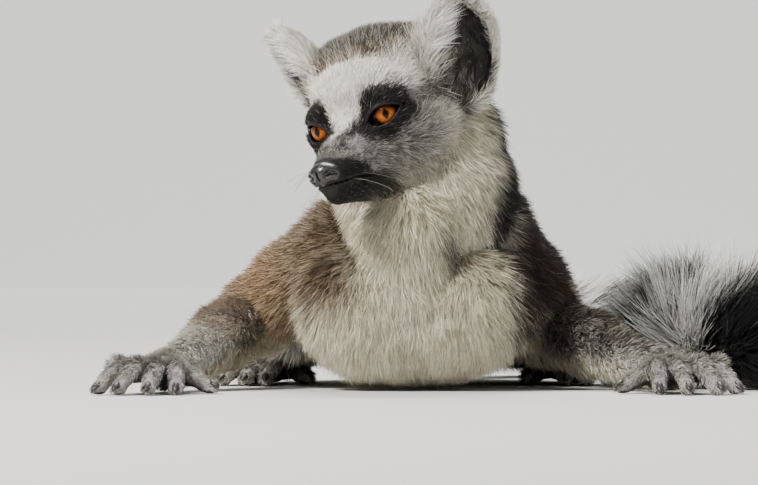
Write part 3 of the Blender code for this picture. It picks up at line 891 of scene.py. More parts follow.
def skin_material():
    """Short flat hair with painted shade between tufts where there is coat, fine creased leather where bare.
    """
    n = Nodes("skin_and_short_hair")
    marking = n.add("Attribute", attribute_name="Marking")
    bare = n.add("Attribute", attribute_name="Bare")
    hair = n.texture("Noise", Scale=900.0, Detail=3.0, Roughness=0.65, Distortion=0.6)
    # A fine speckle of short hair darkens the marking, and stands as painted shade in the gaps between
    # tufts.
    shade = n.ranged(hair, "Fac", From_Min=0.3, From_Max=0.7, To_Min=0.45, To_Max=1.0)
    darker = n.mixed("MULTIPLY", 1.0, (marking, "Color"), (shade, "Result"))
    pores = n.texture("Voronoi", Scale=1400.0, Randomness=1.0)
    creases = n.texture("Noise", Scale=420.0, Detail=4.0, Roughness=0.6)
    leather = n.mixed("MULTIPLY", 0.5, (marking, "Color"), (creases, "Color"))
    n.coloured(n.mixed("MIX", (bare, "Fac"), (darker, MIX_RESULT), (leather, MIX_RESULT)))
    n.roughened(bare, "Fac", To_Min=0.85, To_Max=0.42)
    height = n.mixed("MIX", (bare, "Fac"), (hair, "Color"), (pores, "Distance"))
    n.bumped(height, MIX_RESULT, 0.5, 0.0004)
    return n.finished(Specular_IOR_Level=0.3)


skin = piece_of(skin_mesh, skin_material())
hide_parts(*[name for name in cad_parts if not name.startswith(("eye_", "nose"))])

# ---------------------------------------------------------------- eyes
# Glass-hard, wet and deep orange, with a small upright pupil and nearly black round the iris. Each
# eyeball fills its socket, turned to where the animal looks, with a low dome over the iris.

IRIS_ANGLE = math.radians(38)       # from the line of sight to the iris's edge
PUPIL_ACROSS, PUPIL_ALONG = 0.26, 0.42  # half sizes, as shares of the iris
DOME_HEIGHT = 0.45
BALL_INSET = 0.35                   # how far the rest of the ball lies inside EYE_RADIUS
EYE_RINGS, EYE_SPOKES = 40, 56
IRIS_COLOURS = (                    # from the pupil's middle to the dark round the iris
    (0.0, (0.14, 0.03, 0.003)), (0.34, (0.42, 0.125, 0.011)), (0.62, (0.34, 0.078, 0.006)),
    (0.84, (0.15, 0.026, 0.002)), (0.95, (0.012, 0.005, 0.002)), (1.0, (0.006, 0.004, 0.003)),
)


def eye_material():
    """Orange fibres that run out from the pupil, with painted shade under the upper lid."""
    n = Nodes("eye_orange")
    seen = n.add("Attribute", attribute_name="Iris")
    split = n.add("SeparateColor")
    n.join(seen, "Color", split, "Color")
    fibres = n.add("TexNoise", Scale=9.0, Detail=4.0, Roughness=0.7)
    lengthwise = n.add("Mapping")
    lengthwise.inputs["Scale"].default_value = (0.35, 3.0, 3.0)
    n.join(seen, "Color", lengthwise, "Vector")
    n.join(lengthwise, "Vector", fibres, "Vector")
    ramp = n.add("ValToRGB")
    while len(ramp.color_ramp.elements) < len(IRIS_COLOURS):
        ramp.color_ramp.elements.new(0.5)
    for element, (place, colour) in zip(ramp.color_ramp.elements, IRIS_COLOURS):
        element.position = place
        element.color = (*colour, 1)
    n.join(split, "Red", ramp, "Fac")
    streak = n.ranged(fibres, "Fac", From_Min=0.3, From_Max=0.7, To_Min=0.45, To_Max=1.45)
    iris = n.mixed("MULTIPLY", 1.0, (ramp, "Color"), (streak, "Result"))
    under_lid = n.add("Attribute", attribute_name="Lid Shade")
    iris = n.mixed("MULTIPLY", 1.0, (iris, MIX_RESULT), (under_lid, "Color"))
    pupil = n.add("Attribute", attribute_name="Pupil")
    n.coloured(n.mixed("MIX", (pupil, "Fac"), (iris, MIX_RESULT), (0.002, 0.0015, 0.0015, 1)))
    n.bumped(fibres, "Fac", 0.12, 0.0002)
    n.roughened(fibres, "Fac", To_Min=0.20, To_Max=0.34)
    return n.finished(Specular_IOR_Level=0.05, Coat_Weight=0.2, Coat_Roughness=0.03)


eye_orange = eye_material()
for side, sign in SIDES.items():
    sight = Vector(HEAD_TURN @ (np.array(GAZE[side]) * (1, -1, 1))).normalized()
    upright = Vector(HEAD_TURN[:, 2])
    right = sight.cross(upright).normalized()
    upright = right.cross(sight)
    centre = in_head(EYE_PLACE[0] * sign, EYE_PLACE[1], EYE_PLACE[2])
    angles = np.linspace(0, math.pi, EYE_RINGS + 1)[1:-1]
    turns = np.arange(EYE_SPOKES) * 2 * math.pi / EYE_SPOKES
    around, from_sight = np.meshgrid(turns, angles)
    around, from_sight = np.append(around.ravel(), (0, 0)), np.append(from_sight.ravel(), (0, math.pi))
    ring = np.clip(from_sight / IRIS_ANGLE, 0, 1)
    radius = EYE_RADIUS - BALL_INSET + DOME_HEIGHT * (1 - ring ** 2)
    to_right, to_top = np.cos(around), np.sin(around)
    across, up = np.sin(from_sight) * to_right, np.sin(from_sight) * to_top
    points = centre + radius[:, None] * (across[:, None] * np.array(right) + up[:, None] * np.array(upright)
                                         + np.cos(from_sight)[:, None] * np.array(sight))
    rows = np.arange((EYE_RINGS - 1) * EYE_SPOKES).reshape(EYE_RINGS - 1, EYE_SPOKES)
    front, back = rows.size, rows.size + 1
    beside = np.roll(rows, -1, 1)
    faces = np.stack((rows[:-1], rows[1:], beside[1:], beside[:-1]), -1).reshape(-1, 4).tolist()
    faces += [(front, int(first), int(second)) for first, second in zip(rows[0], beside[0])]
    faces += [(back, int(second), int(first)) for first, second in zip(rows[-1], beside[-1])]
    eye_mesh = bpy.data.meshes.new("eyeball_" + side)
    eye_mesh.from_pydata(placed(points).tolist(), [], faces)
    eye_mesh.polygons.foreach_set("use_smooth", [True] * len(faces))
    colour_points(eye_mesh, "Iris", np.column_stack((ring, to_right / 2 + 0.5, to_top / 2 + 0.5)))
    in_iris = np.sin(np.minimum(from_sight, math.pi / 2)) / math.sin(IRIS_ANGLE)
    pupil = np.hypot(in_iris * to_right / PUPIL_ACROSS, in_iris * to_top / PUPIL_ALONG)
    # Painted shade of the upper lid: the iris darker towards its top.
    lid_shade = 1 - 0.8 * step_between(-0.25, 0.5, in_iris * to_top)
    colour_points(eye_mesh, "Lid Shade", np.repeat(lid_shade[:, None], 3, 1))
    colour_points(eye_mesh, "Pupil", np.repeat(step_between(1.12, 0.9, pupil)[:, None], 3, 1))
    eyeball = piece_of(eye_mesh, eye_orange)
    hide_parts("eye_" + side)

# ---------------------------------------------------------------- nose
# Bare wet leather, black and finely pebbled, with a nostril that curls back on each side and a
# groove down the middle to the lip. It sits on the muzzle's end and runs into it.

NOSE_STEP = 0.42
NOSE_REACH = 12.0


def nose_field(p):
    q = on_left(head_coords(p))
    d = egg(q, (0, 57.0, -12.8), (6.3, 5.4, 4.9))
    d = union(d, egg(q, (4.5, 55.6, -13.8), (3.4, 4.8, 3.7)), 1.6)
    d = union(d, rod(q, (0, 58.6, -16.0), (0, 56.6, -19.2), 2.1, 1.7), 2.0)
    d = hollow(d, rod(q, (3.2, 62.4, -14.0), (4.8, 59.6, -13.0), 1.35, 1.15), 0.5)
    d = hollow(d, rod(q, (4.8, 60.2, -13.0), (8.2, 57.0, -14.4), 0.9, 0.55), 0.5)
    return hollow(d, egg(q, (0, 62.2, -16.2), (0.45, 1.7, 5.6)), 0.4)


def nose_material():
    n = Nodes("nose_leather_wet")
    pebbles = n.texture("Voronoi", Scale=1500.0)
    pores = n.texture("Noise", Scale=700.0, Detail=3.0)
    n.coloured(n.mixed("MIX", (pores, "Fac"), (0.006, 0.005, 0.005, 1), (0.022, 0.018, 0.017, 1)))
    n.roughened(pores, "Fac", From_Min=0.3, From_Max=0.7, To_Min=0.22, To_Max=0.42)
    n.bumped(pebbles, "Distance", 0.35, 0.0003)
    return n.finished(Coat_Weight=0.6, Coat_Roughness=0.12)


nose_middle = in_head(0, 57, -14)
nose_points, nose_faces = surface(nose_field, nose_middle - NOSE_REACH, nose_middle + NOSE_REACH, NOSE_STEP)
nose_points, _ = settled(nose_field, nose_points)
nose = piece_of(mesh_of("nose_leather", placed(nose_points), nose_faces), nose_material())
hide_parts("nose")

# ---------------------------------------------------------------- whiskers
# Stiff tapered hairs on the lips, over the eyes and on the cheeks. Geometry Nodes turn each line of
# points to a round hair that narrows to its tip.

WHISKER_POINTS = 8
WHISKER_SIDES = 5
WHISKER_SPREAD = 0.13  # how far their directions scatter
WHISKER_DROOP = (0, 0.10, -0.22)  # how far a tip hangs back and down, as shares of its length
# Each tone: its two colours, its root's radius in metres, its slot and its rows. A row is the place of
# its first hair across, forward and up, the way it points, its length, how many and the step to the next.
WHISKERS = {
    "white": ((0.16, 0.155, 0.14), (0.34, 0.33, 0.30), 0.000045, "coat_white", (
        ((7.6, 50, -15.2), (0.75, -0.30, -0.22), 21, 3, (0.60, -3.7, -0.2)),
        ((24.0, 5, -13.0), (0.60, -0.60, -0.35), 16, 2, (0.0, -4.0, 1.5)))),
    "black": ((0.006, 0.006, 0.006), (0.03, 0.028, 0.026), 0.00006, "tail_rings", (
        ((7.4, 50, -12.8), (0.75, -0.25, 0.05), 21, 4, (0.55, -3.6, 0.2)),
        ((7.0, 50, -17.2), (0.65, -0.35, -0.50), 19, 3, (0.60, -3.8, -0.3)),
        ((11.0, 21, 14.5), (0.10, 0.35, 0.85), 24, 4, (2.2, -1.8, -0.2)))),
}


def tree_of(name, inputs, kinds, material):
    """A tree that turns a mesh into another of one material, and its nodes by name."""
    tree = bpy.data.node_groups.new(name, "GeometryNodeTree")
    for socket, kind in (("Geometry", "Geometry"), *inputs):
        tree.interface.new_socket(socket, in_out="INPUT", socket_type="NodeSocket" + kind)
    tree.interface.new_socket("Geometry", in_out="OUTPUT", socket_type="NodeSocketGeometry")
    nodes = {"entry": tree.nodes.new("NodeGroupInput"), "leave": tree.nodes.new("NodeGroupOutput")}
    for node, kind in (*kinds, ("realized", "RealizeInstances"), ("finish", "SetMaterial")):
        nodes[node] = tree.nodes.new("GeometryNode" + kind)
    nodes["finish"].inputs["Material"].default_value = material
    return tree, nodes


def wired(tree, nodes, *links):
    """The tree with its links made: each a node, its output, another node and its input. Every tree
    ends in Realize Instances and Set Material."""
    for source, output, target, socket in (*links, ("realized", "Geometry", "finish", "Geometry"),
                                           ("finish", "Geometry", "leave", "Geometry")):
        tree.links.new(nodes[source].outputs[output], nodes[target].inputs[socket])
    return tree


def tapered_hairs(material):
    """A tree that gives lines of points the thickness in their Thickness attribute."""
    tree, nodes = tree_of("tapered_hairs", (("Sides", "Int"), ("Root Radius", "Float")), (
        ("lines", "MeshToCurve"), ("radius", "SetCurveRadius"), ("thickness", "InputNamedAttribute"),
        ("ring", "CurvePrimitiveCircle"), ("tubes", "CurveToMesh")), material)
    nodes["thickness"].inputs["Name"].default_value = "Thickness"
    nodes["tubes"].inputs["Fill Caps"].default_value = True
    return wired(
        tree, nodes, ("entry", "Geometry", "lines", "Mesh"), ("lines", "Curve", "radius", "Curve"),
        ("thickness", "Attribute", "radius", "Radius"), ("radius", "Curve", "tubes", "Curve"),
        ("entry", "Sides", "ring", "Resolution"), ("entry", "Root Radius", "ring", "Radius"),
        ("ring", "Curve", "tubes", "Profile Curve"), ("tubes", "Mesh", "realized", "Geometry"))


def grown_by(tree, mesh, sizes):
    """The plain mesh that a tree makes of a mesh, under the same name. sizes are the tree's inputs."""
    name = mesh.name
    base = bpy.data.objects.new(name + "_base", mesh)
    bpy.context.scene.collection.objects.link(base)
    grown = base.modifiers.new("grown", "NODES")
    grown.node_group = tree
    for item in tree.interface.items_tree:
        if item.in_out == "INPUT" and item.name in sizes:
            grown[item.identifier] = sizes[item.name]
    graph = bpy.context.evaluated_depsgraph_get()
    result = bpy.data.meshes.new_from_object(base.evaluated_get(graph))
    base.modifiers.remove(grown)
    bpy.data.objects.remove(base)
    bpy.data.meshes.remove(mesh)
    result.name = name
    result.materials.clear()
    result.polygons.foreach_set("use_smooth", [True] * len(result.polygons))
    return result


def whisker_material(name, low, high):
    n = Nodes(name)
    change = n.texture("Noise", Scale=160.0, Detail=2.0)
    n.coloured(n.mixed("MIX", (change, "Fac"), (*low, 1), (*high, 1)))
    n.roughened(change, "Fac", To_Min=0.4, To_Max=0.65)
    return n.finished()


def root_of_whisker(across, forward, up):
    """The point of the skin nearest a point of the head."""
    root = in_head(across, forward, up)
    for _ in range(3):
        root = root - slope_of(skin_field, root[None])[0] * skin_field(root[None])[0]
    return root


whisker_draws = np.random.default_rng(5)
for tone, (low, high, root_radius, slot, rows) in WHISKERS.items():
    points, edges, thickness = [], [], []
    for side, sign in SIDES.items():
        for place, way, reach, many, step in rows:
            for k in range(many):
                at = np.array(place) + np.array(step) * k + whisker_draws.normal(0, 0.5, 3)
                root = root_of_whisker(at[0] * sign, at[1], at[2])
                heading = np.array(way) + whisker_draws.normal(0, WHISKER_SPREAD, 3)
                heading = HEAD_TURN @ (heading / np.linalg.norm(heading) * (sign, -1, 1))
                long = reach * whisker_draws.uniform(0.75, 1.15)
                for t in np.linspace(0, 1, WHISKER_POINTS):
                    droop = np.array(WHISKER_DROOP) * t * t * long
                    points.append(root + heading * long * t + droop)
                    thickness.append((1 - 0.85 * t) * whisker_draws.uniform(0.95, 1.05))
                    if t > 0:
                        edges.append((len(points) - 2, len(points) - 1))
    lines = bpy.data.meshes.new("whiskers_" + tone)
    lines.from_pydata(placed(points).tolist(), edges, [])
    lines.attributes.new("Thickness", "FLOAT", "POINT").data.foreach_set("value", thickness)
    material = whisker_material("whisker_" + tone, low, high)
    sizes = {"Sides": WHISKER_SIDES, "Root Radius": root_radius}
    piece_of(grown_by(tapered_hairs(material), lines, sizes), material)

# ---------------------------------------------------------------- nails
# Small dark curved plates of horn on the top of every digit's end. Geometry Nodes set one nail on
# each digit, sized to it and turned the way that it points.

NAIL_RINGS, NAIL_SIDES = 5, 8
NAIL_WIDTH = 0.62      # half, and all of a nail's sizes are shares of its digit's radius
NAIL_LENGTH = 2.6


def nails_on_digits(material):
    """A tree that sets a nail on each point, by its Turn and Size attributes."""
    tree, nodes = tree_of("nails_on_digits", (("Nail", "Object"),), (
        ("shape", "ObjectInfo"), ("spread", "InstanceOnPoints"), ("turn", "InputNamedAttribute"),
        ("size", "InputNamedAttribute")), material)
    for node, attribute in (("turn", "Turn"), ("size", "Size")):
        nodes[node].data_type = "FLOAT_VECTOR"
        nodes[node].inputs["Name"].default_value = attribute
    return wired(
        tree, nodes, ("entry", "Geometry", "spread", "Points"), ("entry", "Nail", "shape", "Object"),
        ("shape", "Geometry", "spread", "Instance"), ("turn", "Attribute", "spread", "Rotation"),
        ("size", "Attribute", "spread", "Scale"), ("spread", "Instances", "realized", "Geometry"))


def horn_material():
    n = Nodes("nail_horn")
    growth = n.texture("Noise", Scale=900.0, Detail=3.0, Roughness=0.6)
    n.coloured(n.mixed("MIX", (growth, "Fac"), (0.010, 0.008, 0.007, 1), (0.055, 0.045, 0.038, 1)))
    n.roughened(growth, "Fac", To_Min=0.25, To_Max=0.5)
    n.bumped(growth, "Fac", 0.2, 0.0002)
    return n.finished()


nail_points = [(0, 0, 0.4)]
for ring in range(1, NAIL_RINGS):
    t = ring / NAIL_RINGS
    for k in range(NAIL_SIDES):
        angle = 2 * math.pi * k / NAIL_SIDES
        reach = math.sin(math.pi * t)
        across, thick = math.cos(angle) * reach, math.sin(angle) * reach
        height = 0.34 + 0.30 * thick - 0.30 * t * t - 0.25 * across ** 2
        nail_points.append((across * NAIL_WIDTH, -t * NAIL_LENGTH + 0.2, height))
nail_points.append((0, -2.5, -0.05))
nail_faces = []
last = len(nail_points) - 1
for k in range(NAIL_SIDES):
    j = (k + 1) % NAIL_SIDES
    nail_faces += [(0, 1 + k, 1 + j), (last, last - NAIL_SIDES + j, last - NAIL_SIDES + k)]
    for first in range(1, last - NAIL_SIDES, NAIL_SIDES):
        nail_faces.append((first + k, first + NAIL_SIDES + k, first + NAIL_SIDES + j, first + j))
nail_mesh = bpy.data.meshes.new("one_nail")
nail_mesh.from_pydata(nail_points, [], nail_faces)
one_nail = bpy.data.objects.new("one_nail", nail_mesh)
bpy.context.scene.collection.objects.link(one_nail)
beds, turns, sizes = [], [], []
for last_joint, tip, _, radius in DIGIT_TIPS:
    heading = (tip - last_joint) / np.linalg.norm(tip - last_joint)
    beds.append(tip - heading * radius * 0.15 + np.array((0, 0, radius * 0.78)))
    pitch = math.asin(heading[2])
    turns += (-pitch, 0.0, math.atan2(heading[0], -heading[1]))
    sizes += (radius * MM,) * 3
bed_mesh = bpy.data.meshes.new("nails")
bed_mesh.from_pydata(placed(beds).tolist(), [], [])
bed_mesh.attributes.new("Turn", "FLOAT_VECTOR", "POINT").data.foreach_set("vector", turns)
bed_mesh.attributes.new("Size", "FLOAT_VECTOR", "POINT").data.foreach_set("vector", sizes)
horn = horn_material()
nails = grown_by(nails_on_digits(horn), bed_mesh, {"Nail": one_nail})
bpy.data.objects.remove(one_nail)
piece_of(nails, horn)

# ---------------------------------------------------------------- coat
# Every tuft is a thin leaf of mesh rooted in the skin, widest in its middle and drawn to a point. It
# follows the lie of the hair, gathers with its neighbours into locks, and lies flatter to its tip.

skin_triangles = np.concatenate((skin_faces[:, [0, 1, 2]], skin_faces[:, [0, 2, 3]]))
corners = skin_points[skin_triangles]
triangle_area = length_of(np.cross(corners[:, 1] - corners[:, 0], corners[:, 2] - corners[:, 0])) / 2
triangle_middle = corners.mean(1)


def over_triangles(values):
    return values[skin_triangles].mean(1)


triangle_bare = over_triangles(skin_bare)
triangle_weight = over_triangles(skin_weight)
triangle_share = over_triangles(skin_share)
triangle_normal = over_triangles(skin_normals)
part_number = triangle_weight.argmax(1)
nearest_stretch = triangle_share.argmax(1)
kind_names = np.array([s["kind"] for s in STRETCHES])
NOSE_TIP = in_head(0, 60, -12)


def along_skin(v, n):
    """Vectors with what points out of the skin taken away."""
    return v - n * np.einsum("ij,ij->i", v, n)[:, None]


def body_lie(p, share):
    """Lie, hair length, coat depth and locks on neck, trunk and limbs."""
    lie = share @ np.array([s["lie"] for s in STRETCHES])
    values = np.zeros((len(p), 3))
    for i, s in enumerate(STRETCHES):
        along = s["end"] - s["start"]
        t = np.clip((p - s["start"]) @ along / (along @ along), 0, 1)
        for k, (first, last) in enumerate((s["hair"], s["depths"], (s["locks"], s["locks"]))):
            values[:, k] += share[:, i] * (first + (last - first) * t)
    return lie, values


# The hair's length, and the coat's depth over the skin, by how far forward in the head.
HEAD_HAIR = ((-40, 15.0), (-20, 13.0), (0, 10.5), (14, 7.5), (26, 5.0), (38, 3.4), (52, 1.9))
HEAD_LIFT = ((-40, 9.0), (-20, 8.0), (0, 5.6), (14, 3.2), (26, 1.7), (38, 1.0), (52, 0.5))


def head_lie(p):
    """On the head the hair runs back from the nose, short on the muzzle and round the eyes."""
    q = head_coords(p)
    f, u = q[:, 1], q[:, 2]
    hair, depth = read_off(HEAD_HAIR, f), read_off(HEAD_LIFT, f)
    top = step_between(4, 12, u) * step_between(26, 16, f)
    on_forehead = step_between(-3, 2, f - crown_border(q[:, 0]))
    at_side = step_between(12, 22, np.abs(q[:, 0]))
    hair = blend(hair, blend(7.4, 6.2 + 2.8 * at_side, on_forehead), top)
    depth = blend(depth, blend(6.6, 2.6 + 2.2 * at_side, on_forehead), top)
    to_eye = length_of(on_left(q) - EYE_PLACE)
    near_eye = step_between(16.5, 11.5, to_eye) * (1 - 0.6 * step_between(20, 25, np.abs(q[:, 0])))
    hair = blend(hair, 3.0, near_eye)
    depth = blend(depth, 1.0, near_eye)
    lie = unit(p - NOSE_TIP) + 0.25 * step_between(-5, -25, u)[:, None] * np.array((0, 0.2, -1.0))
    root_of_ear = ear_base(q)
    up_and_out = np.column_stack((0.55 * np.sign(q[:, 0]), np.full(len(p), -0.1), np.full(len(p), 0.8)))
    lie = blend(lie, up_and_out @ (HEAD_TURN * (1, -1, 1)).T, root_of_ear[:, None])
    hair = blend(hair, 15.0, root_of_ear)
    depth = blend(depth, 9.5, root_of_ear)
    return lie, np.column_stack((hair, depth, np.full(len(p), 0.22)))


def ear_lie(p, n, side):
    """White hair runs up the ear's back, and longer hair crosses its mouth from the front edge."""
    sign = SIDES[side]
    e, m = ear_coords(p, side), n @ EAR_TURN[side]
    x, z = e[:, 0] * sign / EAR_SHELL[0], e[:, 2] / EAR_SHELL[2]
    front_edge = step_between(0.35, 0.75, -x)
    inside = step_between(0.2, -0.4, m[:, 1])
    out = np.column_stack((e[:, 0] / EAR_SHELL[0] * 0.8, np.full(len(p), -0.1), 0.9 + 0.4 * z))
    across = np.column_stack((0.75 * sign * np.ones(len(p)), np.full(len(p), -0.15), 0.9 - 0.1 * z))
    upward = np.column_stack((-0.35 * e[:, 0] / EAR_SHELL[0], np.full(len(p), -0.1), np.ones(len(p))))
    lie = blend(out, upward, (inside * step_between(0.8, 0.6, x * x + z * z))[:, None])
    lie = blend(lie, across, (front_edge * inside)[:, None]) @ EAR_TURN[side].T
    hair = blend(blend(7.5, 9.0, np.clip(z, 0, 1)), 16.0, front_edge * inside)
    hair = blend(hair, 4.5, inside * (1 - front_edge) * step_between(0.95, 0.8, x * x + z * z))
    depth = blend(2.6, 5.0, front_edge * inside)
    return lie, np.column_stack((hair, depth, np.full(len(p), 0.35)))


def digits_lie(p, name):
    """Short hair runs down the hand or foot to the ends of the digits."""
    lie, away, tip = np.zeros((len(p), 3)), np.full(len(p), FAR), np.full(len(p), FAR)
    for start, end, start_radius, end_radius in EXTREMITIES[name]:
        d = rod(p, start, end, start_radius, end_radius)
        nearer = d < away
        lie[nearer] = (end - start) / np.linalg.norm(end - start)
        away[nearer] = d[nearer]
    for _, end, _, _ in DIGIT_TIPS:
        tip = np.minimum(tip, length_of(p - end))
    along = step_between(4, 34, tip)
    return lie, np.column_stack((blend(3.4, 8.0, along), blend(0.9, 3.0, along), np.full(len(p), 0.3)))


def tail_lie(p, run):
    """Tail hair stands well out from a thin core and sweeps back to the tip."""
    here = np.interp(run, tail_run, np.arange(TAIL_STEPS))
    i = np.clip(here.astype(int), 0, TAIL_STEPS - 2)
    depth = np.interp(run, tail_run, tail_outline) - np.interp(run, tail_run, tail_core)
    place = np.interp(run, tail_run, tail_places)
    at_bend = np.exp(-((place - RING_FRONT - 0.2) / 0.9) ** 2)
    depth = depth * (1 + 0.35 * np.exp(-((place - RING_FRONT + 1.5) / 0.7) ** 2))
    depth = depth * (1 - 0.22 * step_between(10.5, 11.5, place))
    along = unit(tail_line[i + 1] - tail_line[i]) + (0.15 + 0.75 * at_bend)[:, None] * np.array((0, 0, 1.0))
    return along, np.column_stack((depth * 1.6 + 3, depth * 0.96, np.full(len(p), 0.42)))


def lie_of_hair(p, n, weight, share, run):
    """The hair's lie along the skin, its length and depth, and how far it gathers into locks."""
    lie, values = body_lie(p, share)
    lie, values = unit(lie) * weight[:, :1], values * weight[:, :1]
    for i, name in enumerate(PARTS[1:], 1):
        used = weight[:, i] > 0.02
        if not used.any():
            continue
        q, m = p[used], n[used]
        if name == "tail":
            part_lie, part_values = tail_lie(q, run[used])
        elif name == "head":
            part_lie, part_values = head_lie(q)
        elif name.startswith("ear"):
            part_lie, part_values = ear_lie(q, m, name[4:])
        else:
            part_lie, part_values = digits_lie(q, name)
        lie[used] += unit(part_lie) * weight[used, i, None]
        values[used] += part_values * weight[used, i, None]
    low = step_between(44, 12, p[:, 2]) * weight[:, 0] * step_between(70, 50, np.abs(p[:, 0]))
    lie = unit(along_skin(lie, n)) + low[:, None] * np.array((0, 0.9, 0.2))
    values[:, :2] *= (1 - 0.12 * low)[:, None]
    return unit(along_skin(lie, n)), values


def slow_waves(p, seed, wavelength):
    """A smooth random value, mostly between -1 and 1, which varies over a wavelength."""
    draws = np.random.default_rng(seed)
    total = np.zeros(len(p))
    for _ in range(5):
        direction = draws.normal(size=3)
        direction *= 2 * math.pi / wavelength * draws.uniform(0.6, 1.5) / np.linalg.norm(direction)
        total += np.sin(p @ direction + draws.uniform(0, 2 * math.pi))
    return total / 2.5


def turned(v, axis, angle):
    """Vectors turned about axes square to them."""
    return v * np.cos(angle)[:, None] + np.cross(axis, v) * np.sin(angle)[:, None]


SEGMENTS = 2           # straight lengths in each tuft


def gathered(lines, roots, strength, draws, share_of_leaders):
    """Draws tufts towards the nearest of some leading tufts, more at their tips, and returns which one
    each follows."""
    leaders = np.flatnonzero(draws.random(len(roots)) < share_of_leaders)
    tree = KDTree(len(leaders))
    for leader in leaders:
        tree.insert(roots[leader], int(leader))
    tree.balance()
    own = np.fromiter((tree.find(root)[1] for root in roots), dtype=int, count=len(roots))
    for k in range(1, SEGMENTS + 1):
        pull = (strength * (k / SEGMENTS) ** 1.2)[:, None]
        lines[:, k] += (lines[own, k] - lines[:, k]) * pull
    return own


def tint_of(colour, draws, own):
    """Colours at root, middle and tip. Mid tones mix dark and pale hairs, as an agouti coat does."""
    light = colour.mean(1)
    mixed = step_between(0.03, 0.065, light) * step_between(0.5, 0.25, light)
    pale = 0.45 * draws.random(len(colour))[own] + 0.55 * draws.random(len(colour)) < 0.45
    shade = np.exp(draws.normal(0.0, 0.12, len(colour)) + draws.normal(0.0, 0.10, len(colour))[own])
    body = colour * shade[:, None]
    warmth = step_between(1.25, 1.8, colour[:, 0] / np.maximum(colour[:, 2], 1e-4))
    light_hair = blend(PALE_GREY, WARM_PALE, warmth[:, None]) * 0.85
    body = np.where(pale[:, None], blend(body, light_hair, (0.42 * mixed)[:, None]),
                    body * (1 - 0.40 * mixed)[:, None])
    stray = (draws.random(len(colour)) < 0.05) & (light < 0.04)
    body[stray] = blend(body[stray], PALE_GREY, 0.22)
    # Roots darker as painted shade deep in the coat; tips lighter, partly pale agouti tips and partly
    # painted light.
    root = body * (0.60 - 0.32 * mixed + 0.25 * step_between(0.3, 0.6, light))[:, None]
    tip = body * (1.10 + 0.45 * mixed)[:, None]
    return np.clip(root, 0, 0.9), np.clip(body, 0, 0.9), np.clip(tip, 0, 0.95)


MAP_MARGIN = 0.003     # the room that each tuft has on its piece's map
TAIL_BANDS = 5.999     # cells along the tail. Just under 6 keeps its tip in the sixth
LEAF_CORNERS = 5       # two at the root, two in the middle, and the tip
LEAF = ((0, 1, 3), (0, 3, 2), (2, 3, 4))
LEAF_ON_MAP = np.array(((-0.5, 0.0), (0.5, 0.0), (-0.5, 0.5), (0.5, 0.5), (0.0, 1.0))) * MAP_MARGIN * 0.9


def unwrapped(part, p, n, share, run):
    """Which cell of its piece's map each root is in, where in the cell by the skin's own shape, and how
    many cells the part has."""
    if part == "tail":
        here = np.clip(np.interp(run, tail_run, np.arange(TAIL_STEPS)).astype(int), 0, TAIL_STEPS - 2)
        along = unit(tail_line[here + 1] - tail_line[here])
        out = p - tail_line[here]
        level_side = unit(np.cross(along, (0, 0, 1.0)))
        angle = np.arctan2(out[:, 2], np.einsum("ij,ij->i", out, level_side))
        cell = (run / tail_run[-1] * TAIL_BANDS).astype(int)
        return cell, np.column_stack((run, angle)), math.ceil(TAIL_BANDS)
    if part == "head":
        q = head_coords(p)
        return np.zeros(len(p), dtype=int), np.column_stack((np.arctan2(q[:, 0], q[:, 2] + 8), q[:, 1])), 1
    if part.startswith("ear"):
        facing = (n @ EAR_TURN[part[4:]])[:, 1]
        return (facing > 0).astype(int), ear_coords(p, part[4:])[:, [0, 2]], 2
    if part.startswith(("hand", "foot")):
        return (n[:, 2] > 0).astype(int), p[:, :2], 2
    cell, places = share.argmax(1), np.zeros((len(p), 2))
    for i, s in enumerate(STRETCHES):
        along = s["end"] - s["start"]
        reach = np.linalg.norm(along)
        along = along / reach
        side = unit(np.cross(along, (0.3, 0.2, 1.0))[None])[0]
        q = p[cell == i] - s["start"]
        angle = np.arctan2(q @ np.cross(along, side), q @ side)
        places[cell == i] = np.column_stack((angle, np.clip(q @ along / reach, -0.6, 1.6)))
    return cell, places, len(STRETCHES)


def map_of(root, normal, weight, share, run):
    """Each tuft's own place on its piece's map: cells in a grid, and in each cell its roots spread out."""
    cells, spots = np.zeros(len(root), dtype=int), np.zeros((len(root), 2))
    held, first_cell = weight.argmax(1), 0
    for i, part in enumerate(PARTS):
        on_part = held == i
        if on_part.any():
            cell, spots[on_part], count = unwrapped(part, *(v[on_part] for v in (root, normal, share, run)))
            cells[on_part] = cell + first_cell
            first_cell += count
    used_cells, cells = np.unique(cells, return_inverse=True)
    for index in range(len(used_cells)):
        in_cell = cells == index
        low, high = spots[in_cell].min(0), spots[in_cell].max(0)
        spots[in_cell] = (spots[in_cell] - low) / np.maximum(high - low, 1e-6)
    columns = math.ceil(math.sqrt(len(used_cells)))
    size = np.array((1 / columns, 1 / math.ceil(len(used_cells) / columns)))
    corner = np.column_stack((cells % columns, cells // columns)) * size
    return corner + spots * (size - 2 * MAP_MARGIN) + np.array((0.5, 0.1)) * MAP_MARGIN


ROOT_DEPTH = 0.4       # each tuft starts this far under the skin
LEAST_HEIGHT = 0.45    # the least height of any hair above the floor
BED_SPREAD = 3.5       # long hair pressed to the floor lies in a layer this deep
BEND = 0.55            # how much flatter a tuft lies at its tip than at its root
SAG = 0.10             # how far long hair droops
LIFT_LIMITS = (0.06, 0.93)  # the sines of the flattest and the steepest tuft's rise from the skin
COLOUR_SPREAD = 1.3    # hairs of two colours mingle about this far at a border


